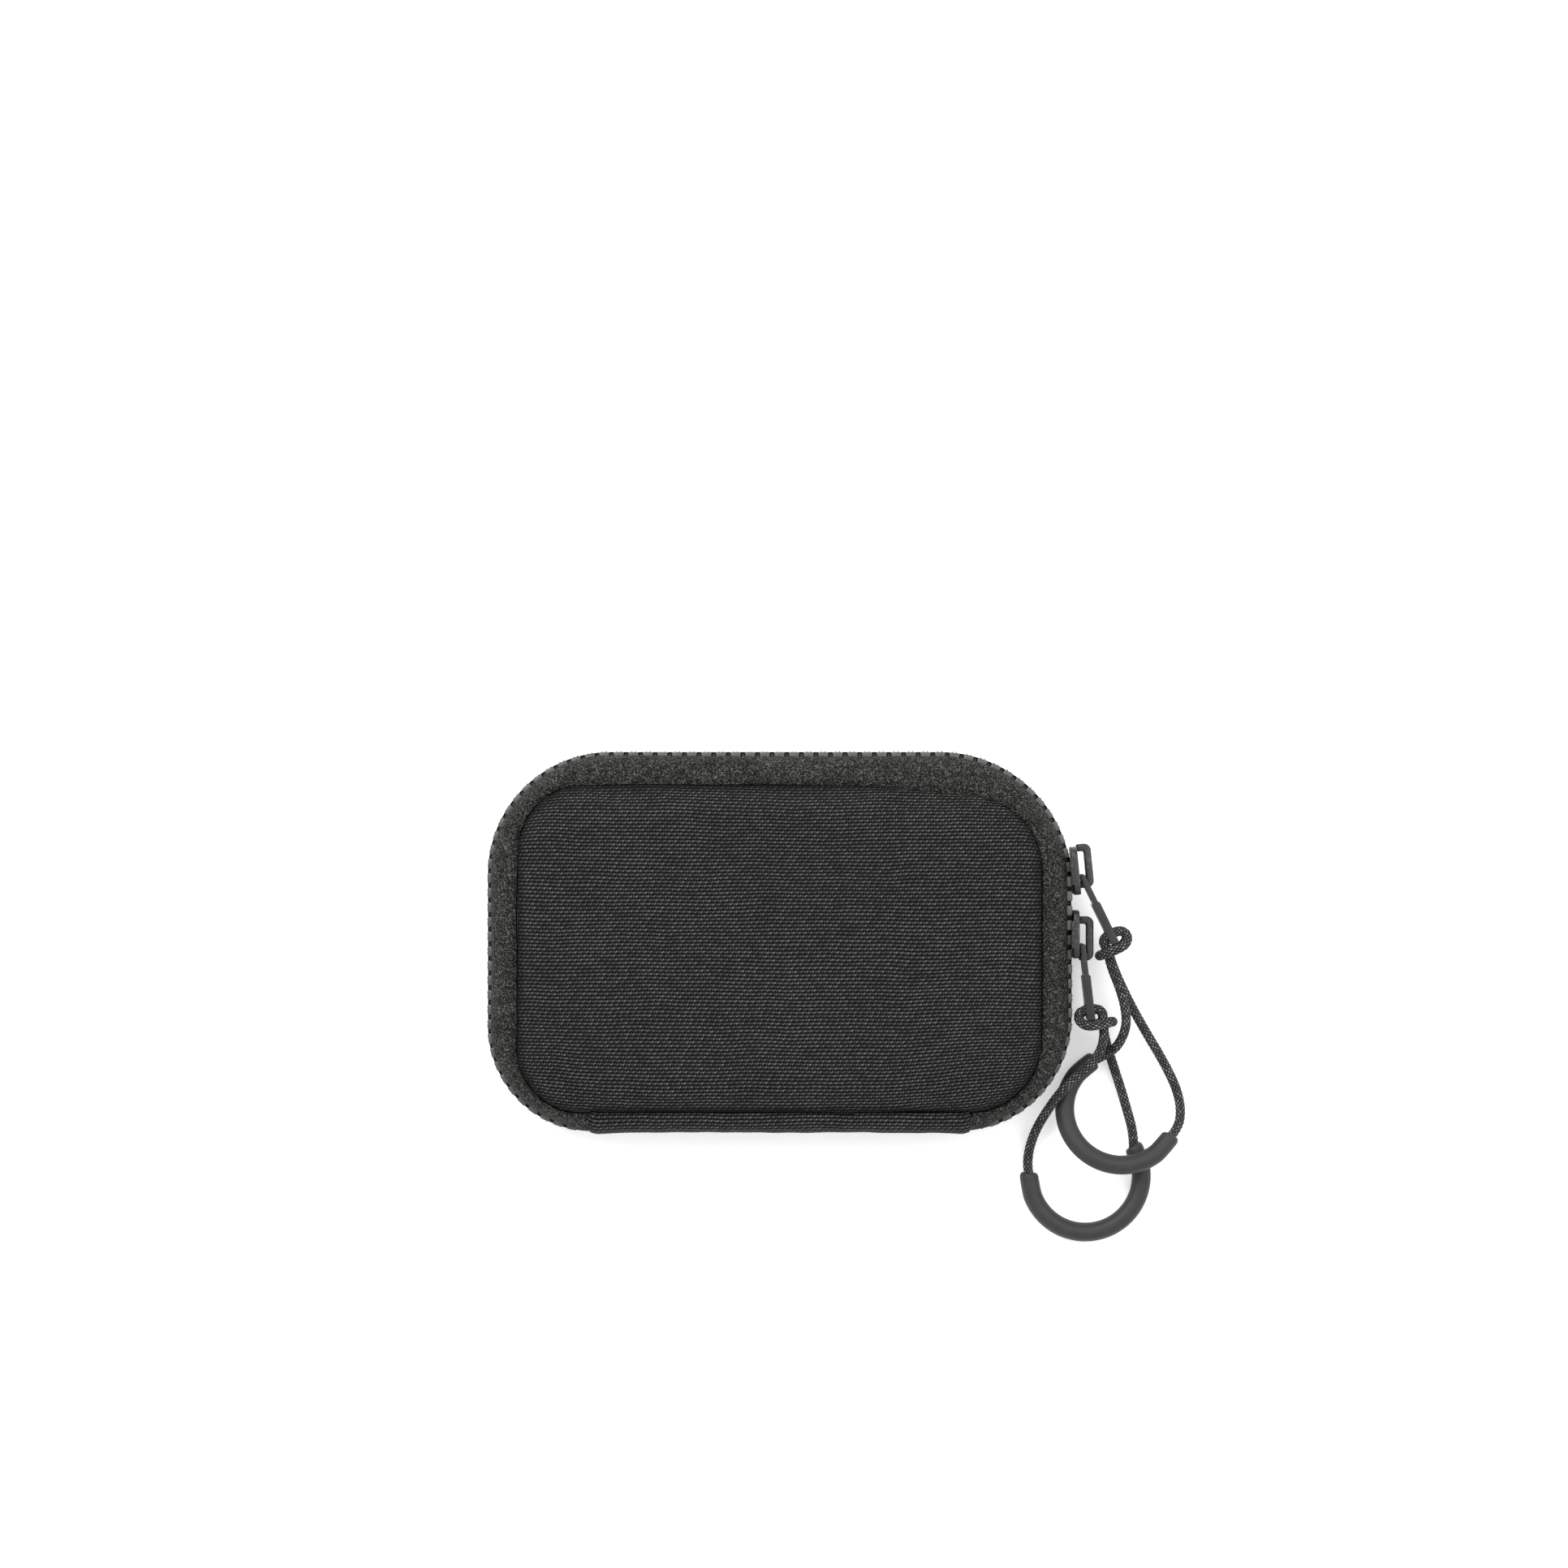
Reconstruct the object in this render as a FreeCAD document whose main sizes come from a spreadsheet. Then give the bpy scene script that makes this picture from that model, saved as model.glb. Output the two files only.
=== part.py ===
import FreeCAD, Part
import math
import os

import Sketcher

# Zippered pouch lying on its back. Millimetres. The origin is the centre of the
# flat back face, +X runs along the base, +Y towards the top edge, +Z out of the
# front panel. Both halves are the same parts, mirrored in the zip's mid plane.

Vector = FreeCAD.Vector
doc = FreeCAD.newDocument("pouch")

# ---------------------------------------------------------------- dimensions

SIZES = {
    "half_width": 62.0,
    "half_height": 40.3,
    "mid_plane": 10.0,
    "half_depth": 10.0,
    # corner radii of the rim, seen from the front
    "rim_top_left": 26.0,
    "rim_top_right": 28.0,
    "rim_base_left": 22.5,
    "rim_base_right": 24.5,
    # the panel seam, set in from the rim
    "seam_side": 6.2,
    "seam_top": 6.6,
    "seam_base": 4.1,
    "seam_top_left": 15.0,
    "seam_top_right": 19.0,
    "seam_base_left": 14.0,
    "seam_base_right": 16.0,
    # panel, foam, lining and binding, as distances from the mid plane
    "panel_low": 7.2,
    "panel_skin": 0.9,
    "panel_round": 1.9,
    "foam_low": 7.1,
    "foam_gap": 1.2,
    "lining_low": 6.3,
    "lining_skin": 0.6,
    "lining_gap": 0.5,
    "binding_low": 5.5,
    "binding_skin": 0.6,
    "binding_width": 1.8,
    # zip tape
    "tape_set_back": 0.6,
    "tape_skin": 0.7,
    "tape_low": 1.4,
    "tape_rise": 6.2,
    "tape_round": 5.0,
    "seam_clearance": 0.1,
    # base gusset
    "gusset_half": 40.2,
    "gusset_skin": 1.1,
    "gusset_round": 4.0,
    "gusset_end_gap": 0.4,
    "seam_height": 7.8,
    "fold_gap": 0.1,
    "base_lining_skin": 0.4,
    # zip teeth
    "tooth_pitch": 3.1,
    "tooth_length": 2.2,
    "tooth_low": 0.55,
    "tooth_high": 2.5,
    "tooth_depth": 1.9,
    "head_length": 0.75,
    "head_reach": 0.55,
    "tooth_chamfer": 0.3,
    "head_inset": 0.2,
    # how far the sliders' posts push the teeth from the mid plane, and over what length of rim
    "tooth_spread": 1.35,
    "spread_half": 5.2,
    "spread_fade": 4.0,
    # sliders
    "slider_length": 10.2,
    "slider_width": 9.6,
    "slider_nose_round": 2.2,
    "plate_gap": 2.8,
    "outer_plate": 1.3,
    "inner_plate": 1.1,
    "plate_clearance": 0.2,
    "lip_depth": 0.45,
    "lip_width": 0.7,
    "post_length": 2.0,
    "post_width": 1.3,
    "post_inset": 0.3,
    "slider_lower_height": 1.6,
    "slider_upper_angle": 5.5,
    # bails
    "bail_length": 9.4,
    "bail_rise": 3.1,
    "bail_bar": 1.6,
    "bail_width": 2.6,
    "bail_round": 1.5,
    "bail_offset": 0.9,
    # pull tabs
    "tab_length": 15.7,
    "tab_width": 7.0,
    "tab_thin": 1.1,
    "tab_thick": 1.75,
    "tab_step": 6.2,
    "tab_bar": 0.55,
    "tab_edge": 0.3,
    "eye_end": 5.3,
    "eye_width": 3.4,
    "slot_start": 12.3,
    "slot_end": 14.9,
    "slot_width": 4.8,
    # where each tab's bar lies along its bail, and the tab's heading
    "tab_upper_along": 1.4,
    "tab_upper_heading": -64.0,
    "tab_lower_along": -2.5,
    "tab_lower_heading": -83.5,
    # cords and cord pullers
    "cord_diameter": 2.1,
    "cord_seat": 0.8,
    "knot_shift": 0.3,
    "puller_radius": 12.0,
    "puller_section": 4.1,
}

# how far along a pitch each row of teeth starts
TOOTH_LEAD = {"front": 0.25, "back": 0.75}

# the share of the shorter of two runs that the bend between them takes
BEND_SHARE = 0.45

# half of the cord's own knot on a tab: along the tab, out of its face, across it. The strand
# comes up behind the tab's end, goes through the slot and round both strands.
KNOT_HALF = [(16.6, 2.3, 1.15), (13.6, 2.4, 1.15), (13.6, -2.3, 1.25), (15.7, -2.9, 2.1),
             (17.0, -1.4, 3.5), (16.9, 1.6, 3.55), (16.7, 4.35, 1.6)]

# each puller: its arc's centre, the axis and angle of its tilt, and its arc's first and last
# heading. It lies in a plane that rises towards one side.
PULLERS = {
    "upper": ((72.75, -36.0, 4.5), (-0.985, 0.174, 0), 14.5, (124, 325)),
    "lower": ((65.3, -50.3, 2.15), (-1, 0, 0), 0, (184, 385)),
}

# each cord's way from its knot down to its puller, by the strand in front and the one behind
ROUTES = {
    "upper": ([(70.7, -5.2, 10.9), (72.6, -9.4, 9.4), (75.4, -14.8, 6.4), (78.4, -19.8, 3.2),
               (81.0, -24.0, 1.6), (83.2, -28.0, 1.2), (85.0, -32.0, 1.3), (85.8, -36.0, 2.0),
               (85.2, -39.8, 3.8)],
              [(70.5, -5.4, 8.8), (72.2, -9.6, 8.6), (73.4, -13.6, 8.7), (73.8, -17.4, 8.9),
               (72.8, -20.8, 8.6), (70.8, -23.6, 6.7)]),
    "lower": ([(68.9, -20.0, 11.0), (68.2, -23.2, 10.5), (66.0, -26.2, 9.8), (62.6, -29.0, 9.2),
               (59.6, -32.2, 8.5), (57.0, -36.0, 6.5), (54.8, -40.0, 3.8), (53.4, -44.0, 1.9),
               (52.9, -48.0, 1.6)],
              [(69.1, -19.7, 6.4), (69.9, -22.4, 3.0), (71.2, -26.4, 1.6), (72.9, -31.4, 1.3),
               (74.4, -36.6, 1.2), (75.6, -41.0, 1.5)]),
}

sheet = doc.addObject("Spreadsheet::Sheet", "Sizes")
for row, (alias, value) in enumerate(SIZES.items(), start=1):
    sheet.set(f"A{row}", alias)
    sheet.set(f"B{row}", str(value))
    sheet.setAlias(f"B{row}", alias)
doc.recompute()


def size(alias):
    """One driving dimension, read back from the sheet."""
    return float(sheet.get(alias))


sub_parts = []


def finish(item, label):
    """Name a sub-part and put it on the list of parts to be written."""
    item.Label = label
    sub_parts.append(item)
    return item


# ------------------------------------------------------------------ outlines

RIM = {
    "right": "Sizes.half_width",
    "left": "Sizes.half_width",
    "top": "Sizes.half_height",
    "base": "Sizes.half_height",
    "corners": ["rim_top_right", "rim_top_left", "rim_base_left", "rim_base_right"],
}
SEAM = {
    "right": "Sizes.half_width - Sizes.seam_side",
    "left": "Sizes.half_width - Sizes.seam_side",
    "top": "Sizes.half_height - Sizes.seam_top",
    "base": "Sizes.half_height - Sizes.seam_base",
    "corners": ["seam_top_right", "seam_top_left", "seam_base_left", "seam_base_right"],
}


def value_of(expression):
    """The number that a sum or difference of sheet cells stands for."""
    total = 0.0
    sign = 1.0
    for word in expression.split():
        if word in "+-":
            sign = 1.0 if word == "+" else -1.0
        elif word.startswith("Sizes."):
            total += sign * size(word[len("Sizes."):])
        else:
            total += sign * float(word)
    return total


def sketch_on(body, plane, name, offset):
    """An empty sketch on one of the body's origin planes, moved along its normal."""
    sketch = body.newObject("Sketcher::SketchObject", name)
    origin_plane = [f for f in body.Origin.OriginFeatures if f.Role == plane][0]
    sketch.AttachmentSupport = [(origin_plane, "")]
    sketch.MapMode = "FlatFace"
    sketch.setExpression("AttachmentOffset.Base.z", offset)
    return sketch


def outline_sketch(body, name, outline, inset, offset):
    """A rectangle with four different round corners, set in from an outline."""
    sketch = sketch_on(body, "XY_Plane", name, offset)
    sides = {k: f"{outline[k]} - {inset}" for k in ("right", "left", "top", "base")}
    radii = [f"Sizes.{corner} - {inset}" for corner in outline["corners"]]
    right, left, top, base = (value_of(sides[k]) for k in ("right", "left", "top", "base"))
    corner_at = [(right, top), (-left, top), (-left, -base), (right, -base)]
    inward = [(-1, -1), (1, -1), (1, 1), (-1, 1)]
    arcs = []
    for i in range(4):
        radius = value_of(radii[i])
        centre = Vector(corner_at[i][0] + inward[i][0] * radius,
                        corner_at[i][1] + inward[i][1] * radius, 0)
        circle = Part.Circle(centre, Vector(0, 0, 1), radius)
        start = i * math.pi / 2
        arcs.append(Part.ArcOfCircle(circle, start, start + math.pi / 2))
    for i in range(4):
        sketch.addGeometry(arcs[i], False)
        following = arcs[(i + 1) % 4]
        sketch.addGeometry(Part.LineSegment(arcs[i].EndPoint, following.StartPoint), False)
    for i in range(4):
        arc, line, next_arc = 2 * i, 2 * i + 1, (2 * i + 2) % 8
        sketch.addConstraint(Sketcher.Constraint("Tangent", arc, 2, line, 1))
        sketch.addConstraint(Sketcher.Constraint("Tangent", line, 2, next_arc, 1))
        direction = "Horizontal" if i % 2 == 0 else "Vertical"
        sketch.addConstraint(Sketcher.Constraint(direction, line))
        radius = sketch.addConstraint(Sketcher.Constraint("Radius", arc, value_of(radii[i])))
        sketch.setExpression(f"Constraints[{radius}]", radii[i])
    # lines 1, 3, 5 and 7 are the top, left, base and right sides
    places = [(1, "DistanceY", top, sides["top"], "+"),
              (3, "DistanceX", left, sides["left"], "-"),
              (5, "DistanceY", base, sides["base"], "-"),
              (7, "DistanceX", right, sides["right"], "+")]
    for line, kind, distance, expression, sign in places:
        ends = (-1, 1, line, 1) if sign == "+" else (line, 1, -1, 1)
        datum = sketch.addConstraint(Sketcher.Constraint(kind, *ends, distance))
        sketch.setExpression(f"Constraints[{datum}]", expression)
    return sketch


def pad(body, name, sketch, length, downwards):
    """Material from a sketch, by default along +Z."""
    feature = body.newObject("PartDesign::Pad", name)
    feature.Profile = sketch
    feature.setExpression("Length", length)
    feature.Reversed = downwards
    doc.recompute()
    return feature


def pocket(body, name, sketch, length, downwards):
    """A cut from a sketch, along +Z unless downwards, checked to remove material."""
    before = body.Tip.Shape.Volume
    feature = body.newObject("PartDesign::Pocket", name)
    feature.Profile = sketch
    feature.setExpression("Length", length)
    feature.Reversed = not downwards
    doc.recompute()
    if not feature.Shape.Volume < before - 1e-6:
        raise RuntimeError(f"{body.Name}.{name} cut nothing")
    return feature


def edges_at(shape, height):
    """The names of the edges that lie in one level plane."""
    names = []
    for number, edge in enumerate(shape.Edges, start=1):
        box = edge.BoundBox
        if abs(box.ZMin - height) < 1e-4 and abs(box.ZMax - height) < 1e-4:
            names.append(f"Edge{number}")
    return names


def fillet(body, name, height, radius):
    """Round every edge of the body's tip that lies at one height."""
    base = body.Tip
    feature = body.newObject("PartDesign::Fillet", name)
    feature.Base = (base, edges_at(base.Shape, height))
    feature.setExpression("Radius", radius)
    doc.recompute()
    return feature


def box(name, lengths, corner):
    """A Part::Box from expressions for its lengths and its low corner."""
    item = doc.addObject("Part::Box", name)
    for key, expression in zip(("Length", "Width", "Height"), lengths):
        item.setExpression(key, expression)
    for key, expression in zip("xyz", corner):
        item.setExpression(f"Placement.Base.{key}", expression)
    return item


def fused(name, pieces):
    """A Part::MultiFuse of primitives."""
    item = doc.addObject("Part::MultiFuse", name)
    item.Shapes = pieces
    return item


# -------------------------------------------------------------- the two halves

class Half:
    """One half of the pouch: heights are distances from the mid plane outwards."""

    def __init__(self, name, sign):
        self.name = name
        self.sign = sign
        self.downwards = sign < 0

    def height(self, alias):
        """The expression for a height that lies a distance outside the mid plane."""
        return f"Sizes.mid_plane {'+' if self.sign > 0 else '-'} {alias}"

    def level(self, alias):
        """The same height as a number."""
        return size("mid_plane") + self.sign * value_of(alias)

    def body(self, label):
        """A new body of this half, which is one of the written sub-parts."""
        name = f"{self.name}_{label}"
        return finish(doc.addObject("PartDesign::Body", name), name)

    def outline(self, body, name, outline, inset, alias):
        """An outline's sketch at one height of this half."""
        return outline_sketch(body, name, outline, inset, self.height(alias))

    def plate(self, label, outline, inset, low, thickness):
        """A flat sheet with a round-cornered outline."""
        body = self.body(label)
        profile = self.outline(body, f"{self.name}_{label}_outline", outline, inset, low)
        pad(body, f"{self.name}_{label}_sheet", profile, thickness, self.downwards)
        return body


def make_panel(half):
    """The outer panel: a shallow tray of fabric, open towards the inside."""
    body = half.body("panel")
    outer = half.outline(body, f"{half.name}_panel_outline", SEAM, "0", "Sizes.panel_low")
    pad(body, f"{half.name}_panel_pad", outer, "Sizes.half_depth - Sizes.panel_low", half.downwards)
    fillet(body, f"{half.name}_panel_edge", half.level("Sizes.half_depth"), "Sizes.panel_round")
    inner = half.outline(body, f"{half.name}_panel_hollow", SEAM, "Sizes.panel_skin", "Sizes.panel_low")
    depth = "Sizes.half_depth - Sizes.panel_low - Sizes.panel_skin"
    pocket(body, f"{half.name}_panel_pocket", inner, depth, half.downwards)


def domed(half, name, outline, inset, low, rise, rounding=None):
    """A padded outline, with its outer edge rounded where a radius is given."""
    body = doc.addObject("PartDesign::Body", name)
    profile = half.outline(body, f"{name}_outline", outline, inset, low)
    pad(body, f"{name}_pad", profile, rise, half.downwards)
    if rounding:
        fillet(body, f"{name}_round", half.level(f"{low} + {rise}"), rounding)
    return body


def make_tape(half):
    """The zip tape: a thin wall round three sides that curves over to the panel seam."""
    name = f"{half.name}_tape"
    low = "Sizes.tape_low"
    rise = "Sizes.tape_rise"
    skin = "Sizes.tape_skin"
    outer = domed(half, f"{name}_outer", RIM, "Sizes.tape_set_back", low, rise, "Sizes.tape_round")
    inner = domed(half, f"{name}_inner", RIM, f"Sizes.tape_set_back - {skin}", low,
                  f"{rise} - {skin}", f"Sizes.tape_round - {skin}")
    grown = {k: f"{SEAM[k]} + Sizes.seam_clearance" for k in ("right", "left", "top", "base")}
    grown["corners"] = SEAM["corners"]
    opening = domed(half, f"{name}_opening", grown, "0", low, f"{rise} + {skin}")
    side = "Sizes.gusset_half + Sizes.gusset_end_gap"
    gap_low = half.height(low if half.sign > 0 else f"({low} + {rise})")
    gap = box(f"{name}_base_gap", (f"2 * ({side})", "Sizes.seam_base + 2 * Sizes.gusset_skin", rise),
              (f"-({side})", "-Sizes.half_height - Sizes.gusset_skin", gap_low))
    tape = doc.addObject("Part::Cut", f"{half.name}_zip_tape")
    tape.Base, tape.Tool = outer, fused(f"{name}_cuts", [inner, opening, gap])
    finish(tape, f"{half.name}_zip_tape")


def make_binding(half):
    """The narrow tape that binds the panel seam on the inside."""
    body = half.body("seam_binding")
    name = f"{half.name}_binding"
    inset = "Sizes.seam_clearance - Sizes.binding_width"
    outer = half.outline(body, f"{name}_outline", SEAM, "Sizes.seam_clearance", "Sizes.binding_low")
    pad(body, f"{name}_pad", outer, "Sizes.binding_skin", half.downwards)
    inner = half.outline(body, f"{name}_inside", SEAM, inset, "Sizes.binding_low")
    pocket(body, f"{name}_hole", inner, "Sizes.binding_skin", half.downwards)


def make_gusset_edge(half):
    """The rounded edge of the gusset, between its fold line and the panel seam."""
    name = f"{half.name}_gusset_edge"
    cylinders = []
    inner_radius = "Sizes.gusset_round - Sizes.gusset_skin"
    for part, radius in (("outer", "Sizes.gusset_round"), ("inner", inner_radius)):
        cylinder = doc.addObject("Part::Cylinder", f"{name}_{part}")
        cylinder.setExpression("Radius", radius)
        cylinder.setExpression("Height", "2 * Sizes.gusset_half")
        cylinder.Angle = 90
        cylinders.append(cylinder)
    band = doc.addObject("Part::Cut", name)
    band.Base, band.Tool = cylinders
    # a quarter tube along X, whose sector lies between -Y and the way out of this half
    outwards, base_wards = Vector(0, 0, half.sign), Vector(0, -1, 0)
    start, end = (outwards, base_wards) if half.sign > 0 else (base_wards, outwards)
    turn = FreeCAD.Rotation(start, end, Vector(1, 0, 0), "ZXY")
    band.Placement = FreeCAD.Placement(Vector(0, 0, 0), turn)
    band.setExpression("Placement.Base.x", "-Sizes.gusset_half")
    band.setExpression("Placement.Base.y", "Sizes.gusset_round - Sizes.half_height")
    band.setExpression("Placement.Base.z", half.height("(Sizes.seam_height - Sizes.gusset_round)"))
    finish(band, name)


for half in (Half("front", 1), Half("back", -1)):
    make_panel(half)
    half.plate("foam", SEAM, "Sizes.foam_gap", "Sizes.foam_low",
               "Sizes.half_depth - Sizes.panel_skin - Sizes.foam_low - Sizes.seam_clearance")
    half.plate("lining", SEAM, "Sizes.lining_gap", "Sizes.lining_low", "Sizes.lining_skin")
    make_tape(half)
    make_binding(half)
    make_gusset_edge(half)


# ---------------------------------------------------------------- base gusset

FOLD_RISE = "Sizes.seam_height - Sizes.gusset_round - Sizes.fold_gap"
gusset_low = f"Sizes.mid_plane - ({FOLD_RISE})"
gusset = box("base_gusset", ("2 * Sizes.gusset_half", "Sizes.gusset_skin", f"2 * ({FOLD_RISE})"),
             ("-Sizes.gusset_half", "-Sizes.half_height", gusset_low))
finish(gusset, "base_gusset")
lining_half = "Sizes.gusset_half - Sizes.binding_width"
lining_rise = f"({FOLD_RISE} - Sizes.binding_skin)"
base_lining = box("base_lining", (f"2 * ({lining_half})", "Sizes.base_lining_skin", f"2 * {lining_rise}"),
                  (f"-({lining_half})", "Sizes.gusset_skin - Sizes.half_height",
                   f"Sizes.mid_plane - {lining_rise}"))
finish(base_lining, "base_lining")


# ------------------------------------------------------------------ zip teeth

def corner(sign_x, sign_y, alias):
    """The centre and radius of one rim corner."""
    radius = size(alias)
    x, y = size("half_width") - radius, size("half_height") - radius
    return Vector(sign_x * x, sign_y * y, 0), radius


def rim_runs():
    """The rim from the gusset's left end clockwise to its right end, as arcs and lines."""
    centres = [corner(-1, -1, "rim_base_left"), corner(-1, 1, "rim_top_left"),
               corner(1, 1, "rim_top_right"), corner(1, -1, "rim_base_right")]
    end = size("gusset_half") + size("gusset_end_gap")
    spans = [[-90, -180], [180, 90], [90, 0], [0, -90]]
    for i, k, sign in ((0, 0, -1), (3, 1, 1)):
        centre, radius = centres[i]
        spans[i][k] += sign * math.degrees(math.asin((end - abs(centre.x)) / radius))
    runs = []
    for i, ((centre, radius), (first, last)) in enumerate(zip(centres, spans)):
        runs.append(("arc", math.radians(first - last) * radius, centre, radius, first))
        if i < 3:
            next_centre, next_radius = centres[i + 1]
            normal = Vector(math.cos(math.radians(last)), math.sin(math.radians(last)), 0)
            start, stop = centre + normal * radius, next_centre + normal * next_radius
            runs.append(("line", start.distanceToPoint(stop), start, stop, last))
    return runs


def on_rim(runs, distance):
    """The point a distance along the rim and the heading of its outward normal, in degrees."""
    for kind, length, first, second, heading in runs:
        if distance <= length:
            break
        distance -= length
    if kind == "line":
        return first + (second - first) * (distance / length), heading
    heading -= math.degrees(distance / second)
    normal = Vector(math.cos(math.radians(heading)), math.sin(math.radians(heading)), 0)
    return first + normal * second, heading


def spread(point):
    """How far the sliders' posts push a tooth away from the mid plane."""
    if point.x < size("half_width") - 1:
        return 0.0
    middle = (nose_height("lower") + nose_height("upper")) / 2
    reach = abs(point.y - middle) - size("spread_half")
    return size("tooth_spread") * min(1.0, max(0.0, 1.0 - reach / size("spread_fade")))


def nose_height(slider):
    """The height of a slider's nose along the right edge."""
    if slider == "lower":
        return size("slider_lower_height") + size("slider_length") / 2
    centre, radius = corner(1, 1, "rim_top_right")
    middle = centre.y + radius * math.sin(math.radians(size("slider_upper_angle")))
    return middle - size("slider_length") / 2


def tooth(sign):
    """One moulded tooth: a block astride the tape's edge with a narrow head past the middle."""
    depth, length, head = size("tooth_depth"), size("tooth_length"), size("head_length")
    low, high, reach = size("tooth_low"), size("tooth_high"), size("head_reach")
    inset = size("head_inset")
    block = Part.makeBox(depth, length, high - low, Vector(-depth, -length / 2, low))
    block = block.makeChamfer(size("tooth_chamfer"), [e for e in block.Edges if e.BoundBox.XMin > -1e-6])
    neck = Part.makeBox(depth - 2 * inset, head, low + reach + inset,
                        Vector(inset - depth, -head / 2, -reach))
    shape = block.fuse(neck).removeSplitter()
    return shape if sign > 0 else shape.mirror(Vector(0, 0, 0), Vector(0, 0, 1))


def make_teeth(half):
    """The row of teeth along the edge of one zip tape, half a pitch off the other row."""
    runs = rim_runs()
    total = sum(run[1] for run in runs)
    pitch = size("tooth_pitch")
    count = int((total - pitch) / pitch)
    lead = (total - count * pitch) / 2 + (TOOTH_LEAD[half.name] - 0.5) * pitch
    model = tooth(half.sign)
    teeth = []
    for k in range(count):
        point, heading = on_rim(runs, lead + (k + 0.5) * pitch)
        height = size("mid_plane") + half.sign * spread(point)
        turn = FreeCAD.Rotation(Vector(0, 0, 1), heading)
        item = model.copy()
        item.Placement = FreeCAD.Placement(Vector(point.x, point.y, height), turn)
        teeth.append(item)
    row = doc.addObject("Part::Feature", f"{half.name}_zip_teeth")
    row.Shape = Part.makeCompound(teeth)
    row.Placement = FreeCAD.Placement()
    finish(row, f"{half.name}_zip_teeth")


make_teeth(Half("front", 1))
make_teeth(Half("back", -1))


# -------------------------------------------------------------------- sliders

def rounded(name, base, radius, chosen):
    """A Part::Fillet over the edges that a test picks."""
    doc.recompute()
    item = doc.addObject("Part::Fillet", name)
    item.Base = base
    numbers = [n for n, edge in enumerate(base.Shape.Edges, start=1) if chosen(edge)]
    item.Edges = [(n, radius, radius) for n in numbers]
    return item


def runs_along(edge, axis):
    """Whether a straight edge runs along one axis."""
    lengths = [edge.BoundBox.XLength, edge.BoundBox.YLength, edge.BoundBox.ZLength]
    return lengths["xyz".index(axis)] > 1e-6 and sum(lengths) - max(lengths) < 1e-6


def make_slider(name, place):
    """A slider: x points out of the pouch from the teeth, y towards the nose, z across."""
    length, width = "Sizes.slider_length", "Sizes.slider_width"
    low, side = "-Sizes.slider_length / 2", "-Sizes.slider_width / 2"
    out = "Sizes.plate_clearance"
    inner = f"{out} - Sizes.plate_gap"
    plates = []
    for label, thickness, corner_x in (("outer", "Sizes.outer_plate", out),
                                       ("inner", "Sizes.inner_plate", f"{inner} - Sizes.inner_plate")):
        plate = box(f"{name}_{label}_plate", (thickness, length, width), (corner_x, low, side))
        plates.append(rounded(f"{name}_{label}_corners", plate, size("slider_nose_round"),
                              lambda edge: runs_along(edge, "x")))
    lip_x = f"{out} - Sizes.lip_depth"
    lip_length = "Sizes.slider_length - 2 * Sizes.slider_nose_round"
    lip_low = "Sizes.slider_nose_round - Sizes.slider_length / 2"
    lips = [box(f"{name}_lip_{label}", ("Sizes.lip_depth", lip_length, "Sizes.lip_width"),
                (lip_x, lip_low, lip_z))
            for label, lip_z in (("near", side), ("far", "Sizes.slider_width / 2 - Sizes.lip_width"))]
    post = box(f"{name}_post", ("Sizes.plate_gap", "Sizes.post_length", "Sizes.post_width"),
               (inner, "Sizes.slider_length / 2 - Sizes.post_inset - Sizes.post_length",
                "-Sizes.post_width / 2"))
    body = fused(f"slider_body_{name}", plates + lips + [post])
    body.Placement = place
    finish(body, f"slider_body_{name}")


def make_bail(name, place):
    """The bail: an arch over the outer plate, open along the zip for the tab's bar."""
    foot = "Sizes.plate_clearance + Sizes.outer_plate"
    low = "-Sizes.bail_length / 2 - Sizes.bail_offset"
    block = box(f"{name}_bail_block", ("Sizes.bail_rise", "Sizes.bail_length", "Sizes.bail_width"),
                (foot, low, "-Sizes.bail_width / 2"))
    crown = size("plate_clearance") + size("outer_plate") + size("bail_rise")
    arch = rounded(f"{name}_bail_arch", block, size("bail_round"),
                   lambda edge: runs_along(edge, "z") and edge.BoundBox.XMax > crown - 1e-6)
    window = box(f"{name}_bail_window",
                 ("Sizes.bail_rise - Sizes.bail_bar", "Sizes.bail_length - 2 * Sizes.bail_bar",
                  "2 * Sizes.bail_width"),
                 (foot, f"{low} + Sizes.bail_bar", "-Sizes.bail_width"))
    bail = doc.addObject("Part::Cut", f"bail_{name}")
    bail.Base, bail.Tool = arch, window
    bail.Placement = place
    finish(bail, f"bail_{name}")


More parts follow.
